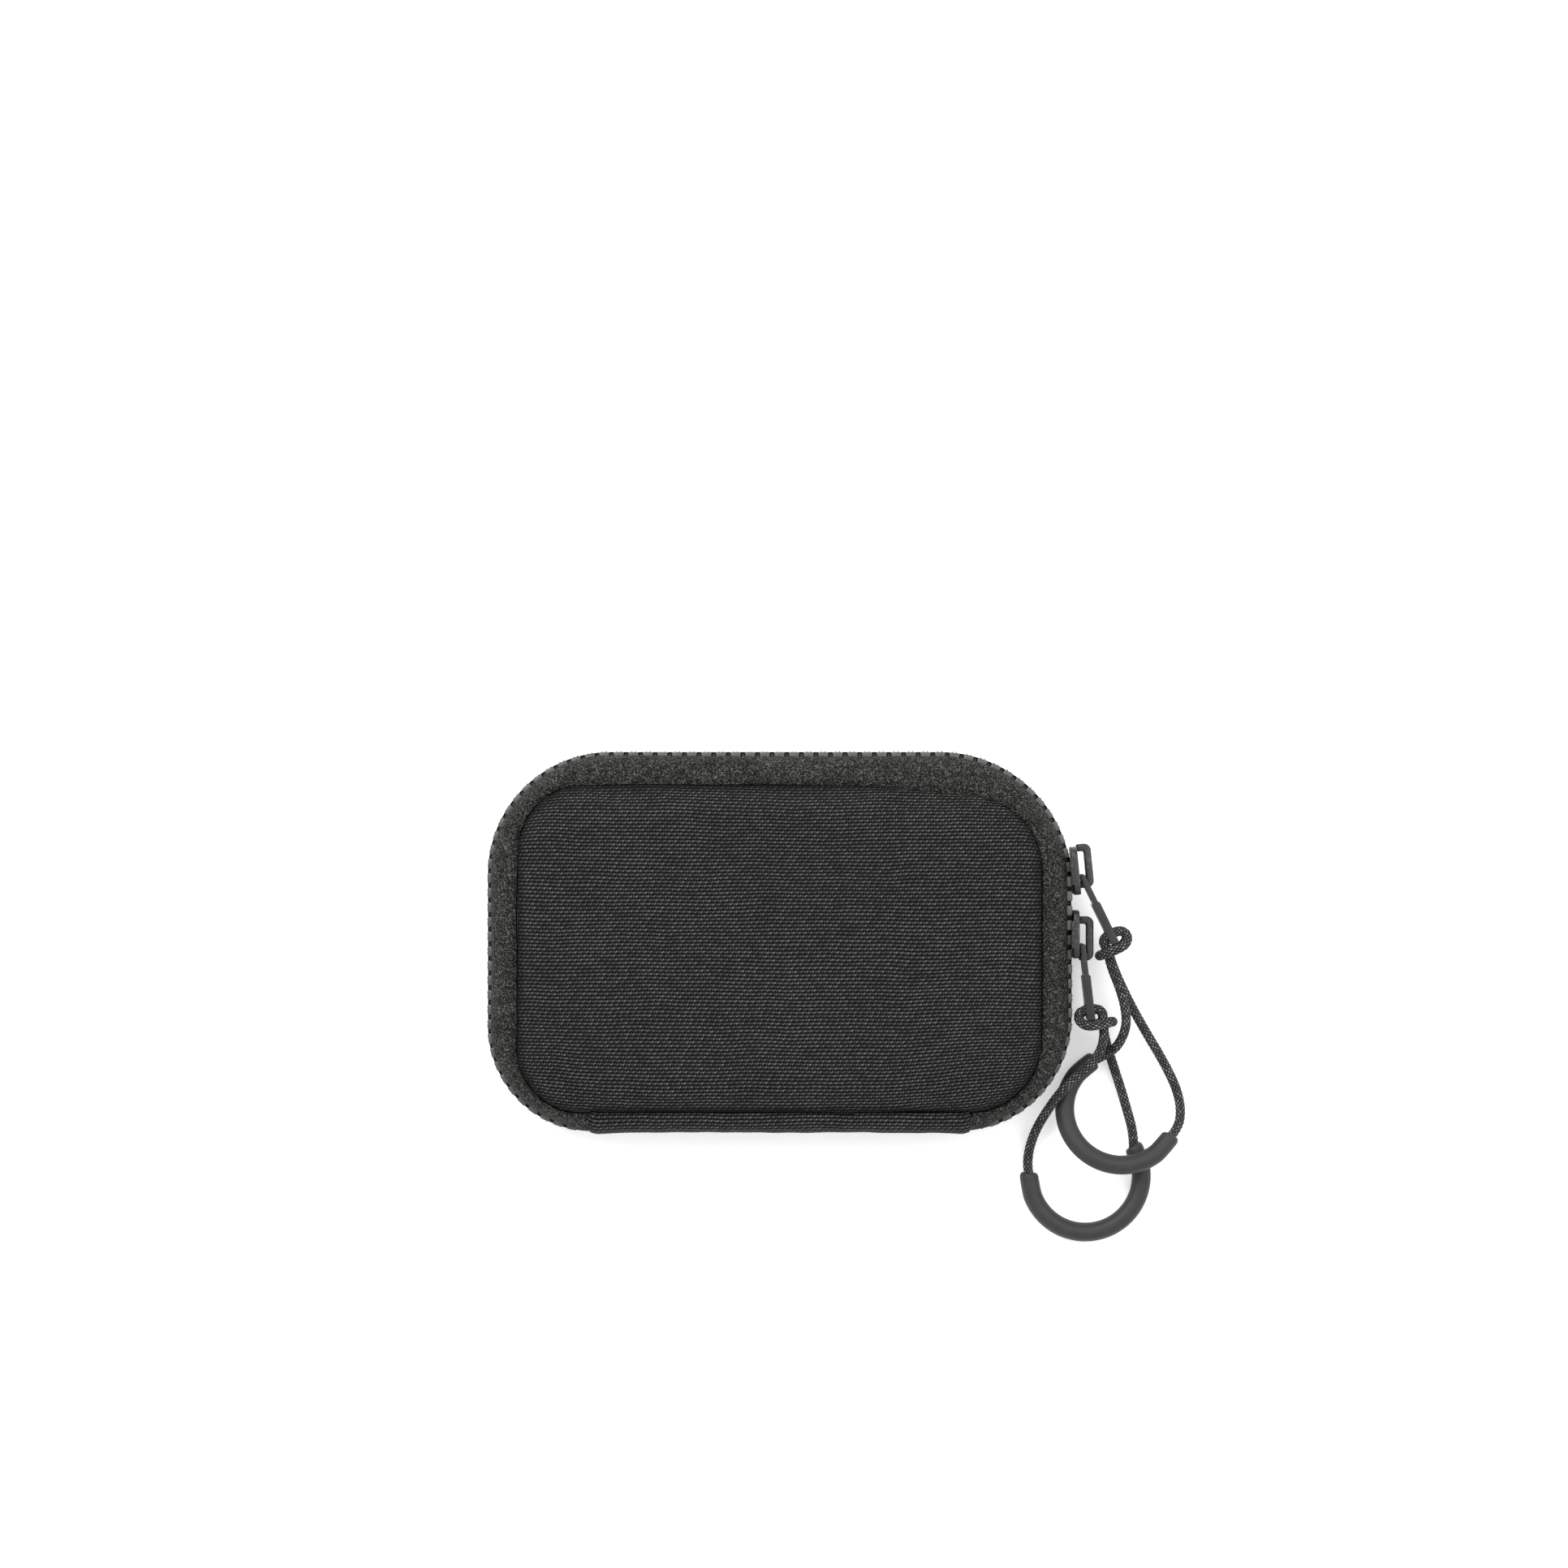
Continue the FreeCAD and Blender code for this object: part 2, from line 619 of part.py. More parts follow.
def make_tab(name, place):
    """The pull tab: x runs down the tab from its bar, y through its thickness, z across."""
    side = "-Sizes.tab_width / 2"
    thin = box(f"{name}_tab_thin", ("Sizes.tab_step", "Sizes.tab_thin", "Sizes.tab_width"),
               ("0", "-Sizes.tab_thin / 2", side))
    thick = box(f"{name}_tab_thick",
                ("Sizes.tab_length - Sizes.tab_step", "Sizes.tab_thick", "Sizes.tab_width"),
                ("Sizes.tab_step", "-Sizes.tab_thick / 2", side))
    bar = doc.addObject("Part::Cylinder", f"{name}_tab_bar")
    bar.setExpression("Radius", "Sizes.tab_bar")
    bar.setExpression("Height", "Sizes.tab_width")
    bar.setExpression("Placement.Base.z", side)
    soft_edges = rounded(f"{name}_tab_soft", thick, size("tab_edge"), lambda edge: runs_along(edge, "z"))
    blank = fused(f"{name}_tab_blank", [thin, soft_edges, bar])
    eye = box(f"{name}_tab_eye",
              ("Sizes.eye_end - Sizes.tab_bar", "2 * Sizes.tab_thick", "Sizes.eye_width"),
              ("Sizes.tab_bar", "-Sizes.tab_thick", "-Sizes.eye_width / 2"))
    slot = box(f"{name}_tab_slot",
               ("Sizes.slot_end - Sizes.slot_start", "2 * Sizes.tab_thick", "Sizes.slot_width"),
               ("Sizes.slot_start", "-Sizes.tab_thick", "-Sizes.slot_width / 2"))
    tab = doc.addObject("Part::Cut", f"pull_tab_{name}")
    tab.Base, tab.Tool = blank, fused(f"{name}_tab_openings", [eye, slot])
    tab.Placement = place
    finish(tab, f"pull_tab_{name}")


# -------------------------------------------------------------- cord pullers

def make_puller(name, place, first, last):
    """A moulded U: an arc of round bar with rounded ends, in its own XY plane."""
    arc = doc.addObject("Part::Torus", f"{name}_puller_arc")
    arc.setExpression("Radius1", "Sizes.puller_radius")
    arc.setExpression("Radius2", "Sizes.puller_section / 2")
    arc.Angle3 = last - first
    arc.Placement = FreeCAD.Placement(Vector(0, 0, 0), FreeCAD.Rotation(Vector(0, 0, 1), first))
    ends = []
    for label, angle in (("first", first), ("last", last)):
        end = doc.addObject("Part::Sphere", f"{name}_puller_{label}_end")
        end.setExpression("Radius", "Sizes.puller_section / 2")
        end.setExpression("Placement.Base.x", f"Sizes.puller_radius * cos({angle} deg)")
        end.setExpression("Placement.Base.y", f"Sizes.puller_radius * sin({angle} deg)")
        ends.append(end)
    puller = fused(f"cord_puller_{name}", [arc] + ends)
    puller.Placement = place
    finish(puller, f"cord_puller_{name}")


def puller_end(place, angle, outward):
    """A point just inside a puller's end, where the cord goes in."""
    turn = math.radians(angle)
    radius = size("puller_radius")
    at_end = Vector(math.cos(turn), math.sin(turn), 0) * radius
    along = Vector(-math.sin(turn), math.cos(turn), 0) * outward
    return place.multVec(at_end + along * (size("puller_section") / 2 - size("cord_seat")))


# ---------------------------------------------------------------------- cords

def tube(points, diameter, label):
    """A round cord along straight runs joined by tangent arcs; prints its bend radii."""
    runs = [points[i + 1] - points[i] for i in range(len(points) - 1)]
    edges = []
    radii = []
    here = points[0]
    for i in range(1, len(points) - 1):
        back, ahead = runs[i - 1], runs[i]
        half_turn = back.getAngle(ahead) / 2
        reach = BEND_SHARE * min(back.Length, ahead.Length)
        radii.append(reach / math.tan(half_turn))
        start = points[i] - Vector(back).normalize() * reach
        stop = points[i] + Vector(ahead).normalize() * reach
        bisector = (Vector(ahead).normalize() - Vector(back).normalize()).normalize()
        middle = points[i] + bisector * (radii[-1] * (1 / math.cos(half_turn) - 1))
        if here.distanceToPoint(start) > 1e-6:
            edges.append(Part.LineSegment(here, start).toShape())
        edges.append(Part.Arc(start, middle, stop).toShape())
        here = stop
    edges.append(Part.LineSegment(here, points[-1]).toShape())
    path = Part.Wire(edges)
    section = Part.Wire(Part.Circle(points[0], runs[0], diameter / 2).toShape())
    solid = path.makePipeShell([section], True, False)
    ideal = math.pi * diameter ** 2 / 4 * path.Length
    print(f"{label}: length {path.Length:.1f}, tightest bend {min(radii):.2f}, "
          f"largest {max(radii):.1f}, volume {solid.Volume:.1f} of {ideal:.1f}")
    return solid


def make_cord(name, place, face, front_route, back_route):
    """A cord: one strand down from the knot on its tab to each end of its puller."""
    shift = size("knot_shift")
    front_knot = [place.multVec(Vector(u, face * v + shift, w)) for u, v, w in KNOT_HALF]
    back_knot = [place.multVec(Vector(u, face * v + shift, -w)) for u, v, w in KNOT_HALF]
    points = front_route[::-1] + front_knot + back_knot[::-1] + back_route
    cord = doc.addObject("Part::Feature", f"cord_{name}")
    cord.Shape = tube(points, size("cord_diameter"), name)
    cord.Placement = FreeCAD.Placement()
    finish(cord, f"cord_{name}")


def vectors(points):
    """Points given as tuples, as FreeCAD vectors."""
    return [Vector(*point) for point in points]


def slider_place(origin, outward_heading, nose_sign):
    """A slider's placement from its origin, the way out and which way its nose points."""
    turn = math.radians(outward_heading)
    outward = Vector(math.cos(turn), math.sin(turn), 0)
    nose = Vector(-math.sin(turn), math.cos(turn), 0) * nose_sign
    rotation = FreeCAD.Rotation(outward, nose, Vector(0, 0, nose_sign), "XYZ")
    return FreeCAD.Placement(origin, rotation)


def tab_place(slider, along, heading):
    """A tab's placement: its bar lies in the bail's window, part of the way along it."""
    window = size("plate_clearance") + size("outer_plate") + (size("bail_rise") - size("bail_bar")) / 2
    pivot = slider.multVec(Vector(window, along, 0))
    return FreeCAD.Placement(pivot, FreeCAD.Rotation(Vector(0, 0, 1), heading))


upper_centre, upper_radius = corner(1, 1, "rim_top_right")
upper_turn = math.radians(size("slider_upper_angle"))
upper_origin = upper_centre + Vector(math.cos(upper_turn), math.sin(upper_turn), 0) * upper_radius
upper_origin.z = size("mid_plane")
lower_origin = Vector(size("half_width"), size("slider_lower_height"), size("mid_plane"))

# each slider's placement, and the side of its tab that the knot's loop lies on
sliders = {
    "upper": (slider_place(upper_origin, size("slider_upper_angle"), -1), -1),
    "lower": (slider_place(lower_origin, 0, 1), 1),
}
for name, (slider, knot_side) in sliders.items():
    tab = tab_place(slider, size(f"tab_{name}_along"), size(f"tab_{name}_heading"))
    centre, tilt_axis, tilt, (first, last) = PULLERS[name]
    puller = FreeCAD.Placement(Vector(*centre), FreeCAD.Rotation(Vector(*tilt_axis), tilt))
    make_slider(name, slider)
    make_bail(name, slider)
    make_tab(name, tab)
    make_puller(name, puller, first, last)
    ends = [puller_end(puller, first, -1), puller_end(puller, last, 1)]
    if name == "upper":
        ends.reverse()
    front, back = (vectors(route) + [end] for route, end in zip(ROUTES[name], ends))
    make_cord(name, tab, knot_side, front, back)


# --------------------------------------------------------------------- output

doc.recompute()
for item in doc.Objects:
    if "Invalid" in item.State or "Error" in item.State:
        raise RuntimeError(f"{item.Name} failed: {item.State}")
for item in sub_parts:
    if item.Shape.isNull() or not item.Shape.isValid():
        raise RuntimeError(f"{item.Label} has no valid shape")

os.makedirs("parts", exist_ok=True)
for item in sub_parts:
    item.Shape.exportStep(f"parts/{item.Label}.step")
    solids = len(item.Shape.Solids)
    print(f"{item.Label}: {solids} solid(s), {item.Shape.Volume:.0f} mm3")
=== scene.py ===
import math

import bmesh
import bpy
from mathutils import Matrix, Vector, kdtree, noise


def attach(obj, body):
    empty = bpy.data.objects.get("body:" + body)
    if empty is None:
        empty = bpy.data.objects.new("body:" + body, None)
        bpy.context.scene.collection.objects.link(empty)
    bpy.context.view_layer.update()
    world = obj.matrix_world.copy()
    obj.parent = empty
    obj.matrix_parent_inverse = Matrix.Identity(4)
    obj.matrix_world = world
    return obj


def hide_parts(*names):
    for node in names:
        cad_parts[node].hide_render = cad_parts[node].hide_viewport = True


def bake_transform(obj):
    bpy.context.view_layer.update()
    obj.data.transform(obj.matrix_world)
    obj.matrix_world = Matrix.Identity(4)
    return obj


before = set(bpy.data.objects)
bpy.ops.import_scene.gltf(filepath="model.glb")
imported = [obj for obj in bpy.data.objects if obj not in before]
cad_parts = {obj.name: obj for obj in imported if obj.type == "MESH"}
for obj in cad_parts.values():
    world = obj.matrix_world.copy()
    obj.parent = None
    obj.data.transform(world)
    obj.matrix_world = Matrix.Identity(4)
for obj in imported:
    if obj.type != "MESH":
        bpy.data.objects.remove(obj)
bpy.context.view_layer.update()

# Zippered pouch lying on its back. Shapes are worked out in millimetres, in the CAD frame, and
# written to meshes in metres. "Height" is a distance from the zip's mid plane outwards.

MM = 0.001
MID = 10.0           # height of the zip's mid plane above the floor
scene = bpy.context.scene


# -------------------------------------------------------------------- camera

CAMERA_AT = (0.9, 33.5)
CAMERA_HEIGHT = 1200.0     # above the mid plane, looking straight down
VIEW_WIDTH = 333.1         # seen at the mid plane's height
SENSOR = 36.0

camera_data = bpy.data.cameras.new("camera")
camera_data.sensor_width = SENSOR
camera_data.lens = SENSOR * CAMERA_HEIGHT / VIEW_WIDTH
camera = bpy.data.objects.new("camera", camera_data)
camera.location = (CAMERA_AT[0] * MM, CAMERA_AT[1] * MM, (MID + CAMERA_HEIGHT) * MM)
scene.collection.objects.link(camera)
scene.camera = camera
scene.view_settings.view_transform = "Standard"


# -------------------------------------------------------------- shader nodes

class Field:
    """A number that a shader works out. Arithmetic on it adds Math nodes."""

    def __init__(self, tree, socket):
        self.tree = tree
        self.socket = socket

    def do(self, operation, *others):
        node = self.tree.nodes.new("ShaderNodeMath")
        node.operation = operation
        for entry, value in zip(node.inputs, (self, *others)):
            if isinstance(value, Field):
                self.tree.links.new(value.socket, entry)
            else:
                entry.default_value = value
        return Field(self.tree, node.outputs[0])

    def __add__(self, other):
        return self.do("ADD", other)

    def __sub__(self, other):
        return self.do("SUBTRACT", other)

    def __mul__(self, other):
        return self.do("MULTIPLY", other)

    def floor(self):
        return self.do("FLOOR")

    def fraction(self):
        return self.do("FRACT")

    def size(self):
        return self.do("ABSOLUTE")

    def larger(self, other):
        return self.do("MAXIMUM", other)

    def flip(self):
        return self * -1.0 + 1.0

    def between(self, low, high):
        """A share from 0 to 1 as a number from low to high."""
        return self * (high - low) + low

    def step(self, low, high):
        """0 below low and 1 above high, or the other way round, with a smooth rise between."""
        node = self.tree.nodes.new("ShaderNodeMapRange")
        node.interpolation_type = "SMOOTHSTEP"
        rising = low < high
        limits = (min(low, high), max(low, high), 1 - rising, rising)
        for entry, value in zip(node.inputs[1:5], limits):
            entry.default_value = value
        self.tree.links.new(self.socket, node.inputs[0])
        return Field(self.tree, node.outputs[0])

    def hump(self, centre, half_width):
        """1 at the centre, falling smoothly to 0 at half_width from it."""
        return (self - centre).size().step(half_width, 0.0)


class Finish:
    """A material with one Principled shader."""

    def __init__(self, name, roughness, **constants):
        self.material = bpy.data.materials.new(name)
        self.material.use_nodes = True
        self.tree = self.material.node_tree
        self.shader = self.tree.nodes["Principled BSDF"]
        self.shader.inputs["Roughness"].default_value = roughness
        for key, value in constants.items():
            self.shader.inputs[key.replace("_", " ")].default_value = value

    def add(self, kind):
        return self.tree.nodes.new(kind)

    def link(self, source, entry):
        self.tree.links.new(source, entry)

    def cloth(self, layer="cloth"):
        """Two coordinates kept on a piece's face corners, in millimetres."""
        node = self.add("ShaderNodeUVMap")
        node.uv_map = layer
        split = self.add("ShaderNodeSeparateXYZ")
        self.link(node.outputs[0], split.inputs[0])
        return Field(self.tree, split.outputs[0]), Field(self.tree, split.outputs[1])

    def place(self):
        """The point on the piece, in millimetres, as a vector socket."""
        node = self.add("ShaderNodeTexCoord")
        scaled = self.add("ShaderNodeVectorMath")
        scaled.operation = "SCALE"
        scaled.inputs["Scale"].default_value = 1 / MM
        self.link(node.outputs["Object"], scaled.inputs[0])
        return scaled.outputs[0]

    def join(self, x, y):
        node = self.add("ShaderNodeCombineXYZ")
        self.link(x.socket, node.inputs[0])
        self.link(y.socket, node.inputs[1])
        return node.outputs[0]

    def noise(self, vector, per_mm, detail=2.0):
        node = self.add("ShaderNodeTexNoise")
        node.inputs["Scale"].default_value = per_mm
        node.inputs["Detail"].default_value = detail
        self.link(vector, node.inputs["Vector"])
        return Field(self.tree, node.outputs[0])

    def threads(self, vector, per_mm, detail, half_width):
        """Lines that wander: 1 where the noise passes its middle value."""
        return (self.noise(vector, per_mm, detail) * 2.0 - 1.0).size().step(half_width, 0.0)

    def chance(self, x, y):
        """A random number for each whole-number cell, the same on each run."""
        node = self.add("ShaderNodeTexWhiteNoise")
        node.noise_dimensions = "2D"
        self.link(self.join(x, y), node.inputs["Vector"])
        return Field(self.tree, node.outputs["Value"])

    def colour(self, tone, tint):
        """The base colour: a tone times a tint."""
        node = self.add("ShaderNodeCombineColor")
        for entry, share in zip(node.inputs, tint):
            self.link((tone * share).socket, entry)
        self.link(node.outputs[0], self.shader.inputs["Base Color"])

    def roughness(self, field):
        self.link(field.socket, self.shader.inputs["Roughness"])

    def bump(self, height, depth, strength=1.0):
        """Relief: height runs from 0 to 1 over a depth in millimetres."""
        node = self.add("ShaderNodeBump")
        node.inputs["Strength"].default_value = strength
        node.inputs["Distance"].default_value = depth * MM
        self.link(height.socket, node.inputs["Height"])
        self.link(node.outputs[0], self.shader.inputs["Normal"])


# The ballistic weave, in millimetres: its cell, and what is drawn in it
ROW = 0.79                               # one row of floats
FLOAT = 1.23                             # one float along its row
DRIFT, DRIFT_PER_MM = 1.4, 0.05          # how far the rows wander, and how often
FLOAT_RISES, FLOAT_SINKS = (0.0, 0.16), (0.88, 0.68)
STRAND_AT, STRAND_HALF = 0.40, 0.34      # a float's crown across its row, and half its width
PICK_AT = (0.93, 0.41)                   # the middle of the light pick
PICK_WAY = (0.66, 0.75)                  # its slant
PICK_SIDES, PICK_ENDS = (0.15, 0.03), (0.36, 0.20)   # where it fades across and along itself
STRAND_TONE, PICK_TONE, GAP_TONE = 0.044, 0.17, 0.002
# painted shade: the weave's colour darkens close to the panel's seam, standing in for the shadow in its
# groove
PAINTED_SHADE_FADE, PAINTED_SEAM_SHADE = (0.2, 2.6), 0.25             # the panel is darker close to its seam


def make_weave(name, tone, seam_shaded=False):
    """Ballistic nylon: rows of dark floats, black between the rows, and a light slanting pick at each. If
    asked, painted shade darkens it close to its seam.
    """
    finish = Finish(name, 0.55, Specular_IOR_Level=0.07)
    u, v = finish.cloth()
    drift = finish.noise(finish.join(u, v), DRIFT_PER_MM)
    v = v + (drift - 0.5) * DRIFT
    rows = v * (1 / ROW)
    row = rows.floor()
    up = rows.fraction() * ROW
    cells = u * (1 / FLOAT) + row * 0.5 + finish.chance(row, row) * 0.3
    cell = cells.floor()
    across = cells.fraction() * FLOAT
    ends = across.step(*FLOAT_RISES) * across.step(*FLOAT_SINKS)
    strand = up.hump(STRAND_AT, STRAND_HALF) * ends.between(0.28, 1.0)
    du, dv = across - PICK_AT[0], up - PICK_AT[1]
    length = (du * PICK_WAY[0] + dv * PICK_WAY[1]).size()
    width = (dv * PICK_WAY[0] - du * PICK_WAY[1]).size()
    pick = width.step(*PICK_SIDES) * length.step(*PICK_ENDS)
    fibres = finish.noise(finish.join(u * 2.0, v * 9.0), 1.0, 1.0)
    chance = finish.chance(cell, row)
    patch = finish.noise(finish.join(u, v), 0.03, 3.0)
    shine = chance.between(0.65, 1.35) * fibres.between(0.7, 1.3) * patch.between(0.85, 1.15)
    light = strand * STRAND_TONE + pick * PICK_TONE
    tone_now = (light * shine + GAP_TONE) * tone
    # painted shade close to the seam, where the groove's shadow falls
    if seam_shaded:
        from_seam = finish.cloth("seam")[0]
        tone_now = tone_now * from_seam.step(*PAINTED_SHADE_FADE).between(PAINTED_SEAM_SHADE, 1.0)
    finish.colour(tone_now, (1.0, 0.99, 0.985))
    finish.bump((strand * 0.7).larger(pick) + fibres * 0.1, 0.22)
    return finish.material


KNIT_THREAD, KNIT_FLECK, KNIT_GROUND = 0.068, 0.075, 0.003


def make_knit(name, tone):
    """The zip tape's warp knit: fine threads that wander, on a dark olive ground."""
    finish = Finish(name, 0.75, Specular_IOR_Level=0.08)
    place = finish.place()
    fine = finish.threads(place, 1.5, 1.0, 0.12)
    cross = finish.threads(place, 2.2, 0.0, 0.13)
    threads = fine.larger(cross * 0.8)
    patch = finish.noise(place, 0.12, 2.0)
    flecks = finish.noise(place, 3.2, 1.0).step(0.58, 0.74)
    ground = threads * KNIT_THREAD + flecks * KNIT_FLECK + KNIT_GROUND
    finish.colour(ground * patch.between(0.75, 1.25) * tone, (1.0, 0.995, 0.92))
    finish.bump(threads + flecks * 0.4, 0.2)
    return finish.material


def make_plain(name, tone, count, tint=(1.0, 1.0, 1.0)):
    """A plain taffeta or tape: a square weave of so many threads to the millimetre."""
    finish = Finish(name, 0.6, Specular_IOR_Level=0.35)
    u, v = finish.cloth()
    warp = (u * count).fraction().hump(0.5, 0.5)
    weft = (v * count).fraction().hump(0.5, 0.5)
    turn = ((u * count).floor() + (v * count).floor()) * 0.5
    over = turn.fraction().step(0.2, 0.3)
    threads = warp * over + weft * over.flip()
    patch = finish.noise(finish.join(u, v), 0.08, 3.0)
    finish.colour(threads.between(0.5, 1.1) * patch.between(0.75, 1.25) * tone, tint)
    finish.bump(threads, 0.08)
    return finish.material


def make_hard(name, tone, roughness, grain, tint=(1.0, 1.0, 1.0), wear_and_highlight=0.0, **constants):
    """Moulded plastic or painted metal: fine grain, faint blotches, and lighter patches if asked, which are
    worn paint and also painted highlight.
    """
    finish = Finish(name, roughness, **constants)
    place = finish.place()
    fine = finish.noise(place, grain, 3.0)
    patch = finish.noise(place, 0.35, 3.0)
    tone_now = patch.between(0.75, 1.25) * fine.between(0.85, 1.15) * tone
    if wear_and_highlight:
        # lighter patches: worn paint, and also painted highlight
        tone_now = tone_now + finish.noise(place, 1.3, 4.0).step(0.56, 0.68) * wear_and_highlight
    finish.colour(tone_now, tint)
    finish.roughness(patch.between(-0.08, 0.08) + fine.between(-0.05, 0.05) + roughness)
    finish.bump(fine, 0.03, 0.6)
    return finish.material


BRAID_AROUND = 8     # strands that run each way round the cord
BRAID_STEP = 1.05    # length of one diamond of the braid
STRAND_YARNS = 3.0   # yarns in one strand
# painted light and shade: each diamond's crown is lighter than the gaps between diamonds; painted highlight
# lines along the yarns; the flecks are light yarn and also painted highlight
BRAID_CROWN_LIGHT, BRAID_YARN_HIGHLIGHT, BRAID_FLECK_AND_HIGHLIGHT, BRAID_GAP = 0.085, 0.07, 0.40, 0.008


def make_braid(name):
    """Braided cord: diamonds of dark yarn, some with light flecks. Painted light on each diamond's crown
    fades to painted shade between the diamonds, painted highlight lines run along the yarns, and the flecks
    are light yarn and also painted highlight.
    """
    finish = Finish(name, 0.6, Specular_IOR_Level=0.12)
    turns, along = finish.cloth()
    first = turns * BRAID_AROUND + along * (1 / BRAID_STEP)
    second = turns * BRAID_AROUND - along * (1 / BRAID_STEP)
    over = ((first.floor() + second.floor()) * 0.5).fraction().step(0.2, 0.3)
    rise_a = first.fraction().hump(0.5, 0.5)
    rise_b = second.fraction().hump(0.5, 0.5)
    crown = rise_a * rise_b
    yarn_a = (first * STRAND_YARNS).fraction().hump(0.5, 0.5)
    yarn_b = (second * STRAND_YARNS).fraction().hump(0.5, 0.5)
    yarn = yarn_a * over + yarn_b * over.flip()
    chance = finish.chance(first.floor(), second.floor())
    fleck_and_highlight = chance.step(0.35, 1.0) * crown * yarn
    # painted light on the crowns, painted shade in the gaps, painted highlight on the yarns, and flecks
    # that are light yarn and also painted highlight
    tone_now = crown * BRAID_CROWN_LIGHT + yarn * crown * BRAID_YARN_HIGHLIGHT + fleck_and_highlight * BRAID_FLECK_AND_HIGHLIGHT + BRAID_GAP
    finish.colour(tone_now, (1.0, 0.995, 0.98))
    finish.bump(crown * 0.7 + yarn * 0.3, 0.2)
    return finish.material


WEAVE = make_weave("panel_weave", 0.86, True)
GUSSET_WEAVE = make_weave("gusset_weave", 0.86)
KNIT = make_knit("zip_tape_knit", 1.5)
LINING = make_plain("lining_taffeta", 0.05, 1.5)
BINDING = make_plain("binding_tape", 0.035, 1.6, (1.0, 0.99, 0.96))
THREAD = make_hard("thread", 0.09, 0.6, 6.0)
TOOTH = make_hard("zip_tooth_plastic", 0.065, 0.32, 3.0, (1.0, 1.0, 0.97))
# the slider's lighter patches are worn paint and also painted highlight
SLIDER = make_hard("slider_paint", 0.020, 0.36, 5.0, (1.0, 1.0, 0.97), 0.035, Specular_IOR_Level=0.4)
TAB = make_hard("tab_paint", 0.018, 0.42, 5.0, (1.0, 1.0, 0.98), 0.008, Specular_IOR_Level=0.35)
PULLER = make_hard("puller_rubber", 0.028, 0.5, 7.0, (1.0, 0.995, 0.985), Specular_IOR_Level=0.3)
BRAID = make_braid("cord_braid")


# ------------------------------------------------------------------ mesh code

def add_piece(name, points, faces, material, marks=None, smooth=True):
    """A new object from millimetre points. marks gives each face corner its cloth coordinates."""
    mesh = bpy.data.meshes.new(name)
    mesh.from_pydata([(x * MM, y * MM, z * MM) for x, y, z in points], [], faces)
    if marks:
        layer = mesh.uv_layers.new(name="cloth")
        for corner, mark in zip(layer.data, marks):
            corner.uv = mark
    mesh.materials.append(material)
    mesh.update()
    if smooth:
        mesh.shade_smooth()
    piece = bpy.data.objects.new(name, mesh)
    scene.collection.objects.link(piece)
    return piece


def add_grid(name, rows, material, mark, loop_rows=False):
    """A skin over rows of points, each row a closed ring. mark(i, j) gives the cloth coordinates of
    row i, point j. The rows join end to end, or else the first and the last are closed by lids."""
    wide = len(rows[0])
    points = [p for row in rows for p in row]
    faces, marks = [], []
    for i in range(len(rows) - (not loop_rows)):
        for j in range(wide):
            corners = [(i, j), (i, j + 1), (i + 1, j + 1), (i + 1, j)]
            faces.append([(a % len(rows)) * wide + b % wide for a, b in corners])
            marks += [mark(a, b) for a, b in corners]
    if not loop_rows:
        for lid, way in ((0, 1), (len(rows) - 1, -1)):
            order = range(wide)[::way]
            faces.append([lid * wide + j for j in order])
            marks += [mark(lid, j) for j in order]
    piece = add_piece(name, points, faces, material, marks)
    face_outwards(piece)
    return piece


def face_outwards(piece):
    """Turn every face of a closed piece to look out."""
    work = bmesh.new()
    work.from_mesh(piece.data)
    bmesh.ops.recalc_face_normals(work, faces=work.faces)
    work.to_mesh(piece.data)
    work.free()


def subdivide(piece):
    modifier = piece.modifiers.new("smooth", "SUBSURF")
    modifier.levels = modifier.render_levels = 1


def settle(piece, body, slot, *nodes):
    """Hang a piece on the body that it rides on, and hide the CAD nodes that it stands for. slot, which
    would name its finish, is not used.
    """
    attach(piece, body)
    if nodes:
        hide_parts(*nodes)


# -------------------------------------------------------------------- outlines

class Outline:
    """A rectangle with four different round corners, anticlockwise from the low right corner's start.
    parts holds each corner's centre, radius and first heading in degrees."""

    def __init__(self, right, top, base, radii):
        self.parts = []
        corners = [(right, -base), (right, top), (-right, top), (-right, -base)]
        inwards = [(-1, 1), (-1, -1), (1, -1), (1, 1)]
        for k, ((x, y), (sx, sy), radius) in enumerate(zip(corners, inwards, radii)):
            self.parts.append((Vector((x + sx * radius, y + sy * radius)), radius, -90 + 90 * k))

    def at(self, place):
        """The point and the outward normal at a place from 0 to 8: arcs and sides by turns."""
        place %= 8
        number, share = int(place // 2), place % 2
        centre, radius, start = self.parts[number]
        turn = math.radians(start + 90 * min(share, 1.0))
        normal = Vector((math.cos(turn), math.sin(turn)))
        point = centre + normal * radius
        if share > 1:
            next_centre, next_radius, _ = self.parts[(number + 1) % 4]
            point = point.lerp(next_centre + normal * next_radius, share - 1)
        return point, normal

    def places(self, step, first=0.0, last=8.0):
        """Places from first to last about a step apart, with the ends of each arc and side kept."""
        found, hair, pieces = [], 1e-9, 8
        stops = [first, *range(math.ceil(first + hair), math.ceil(last)), last]
        for a, b in zip(stops, stops[1:]):
            length = sum((self.at(a + (b - a) * (k + 1) / pieces - hair)[0]
                          - self.at(a + (b - a) * k / pieces + hair)[0]).length for k in range(pieces))
            count = max(1, round(length / step))
            found += [a + (b - a) * k / count for k in range(count)]
        return found + ([last] if last < 8 + first else [])


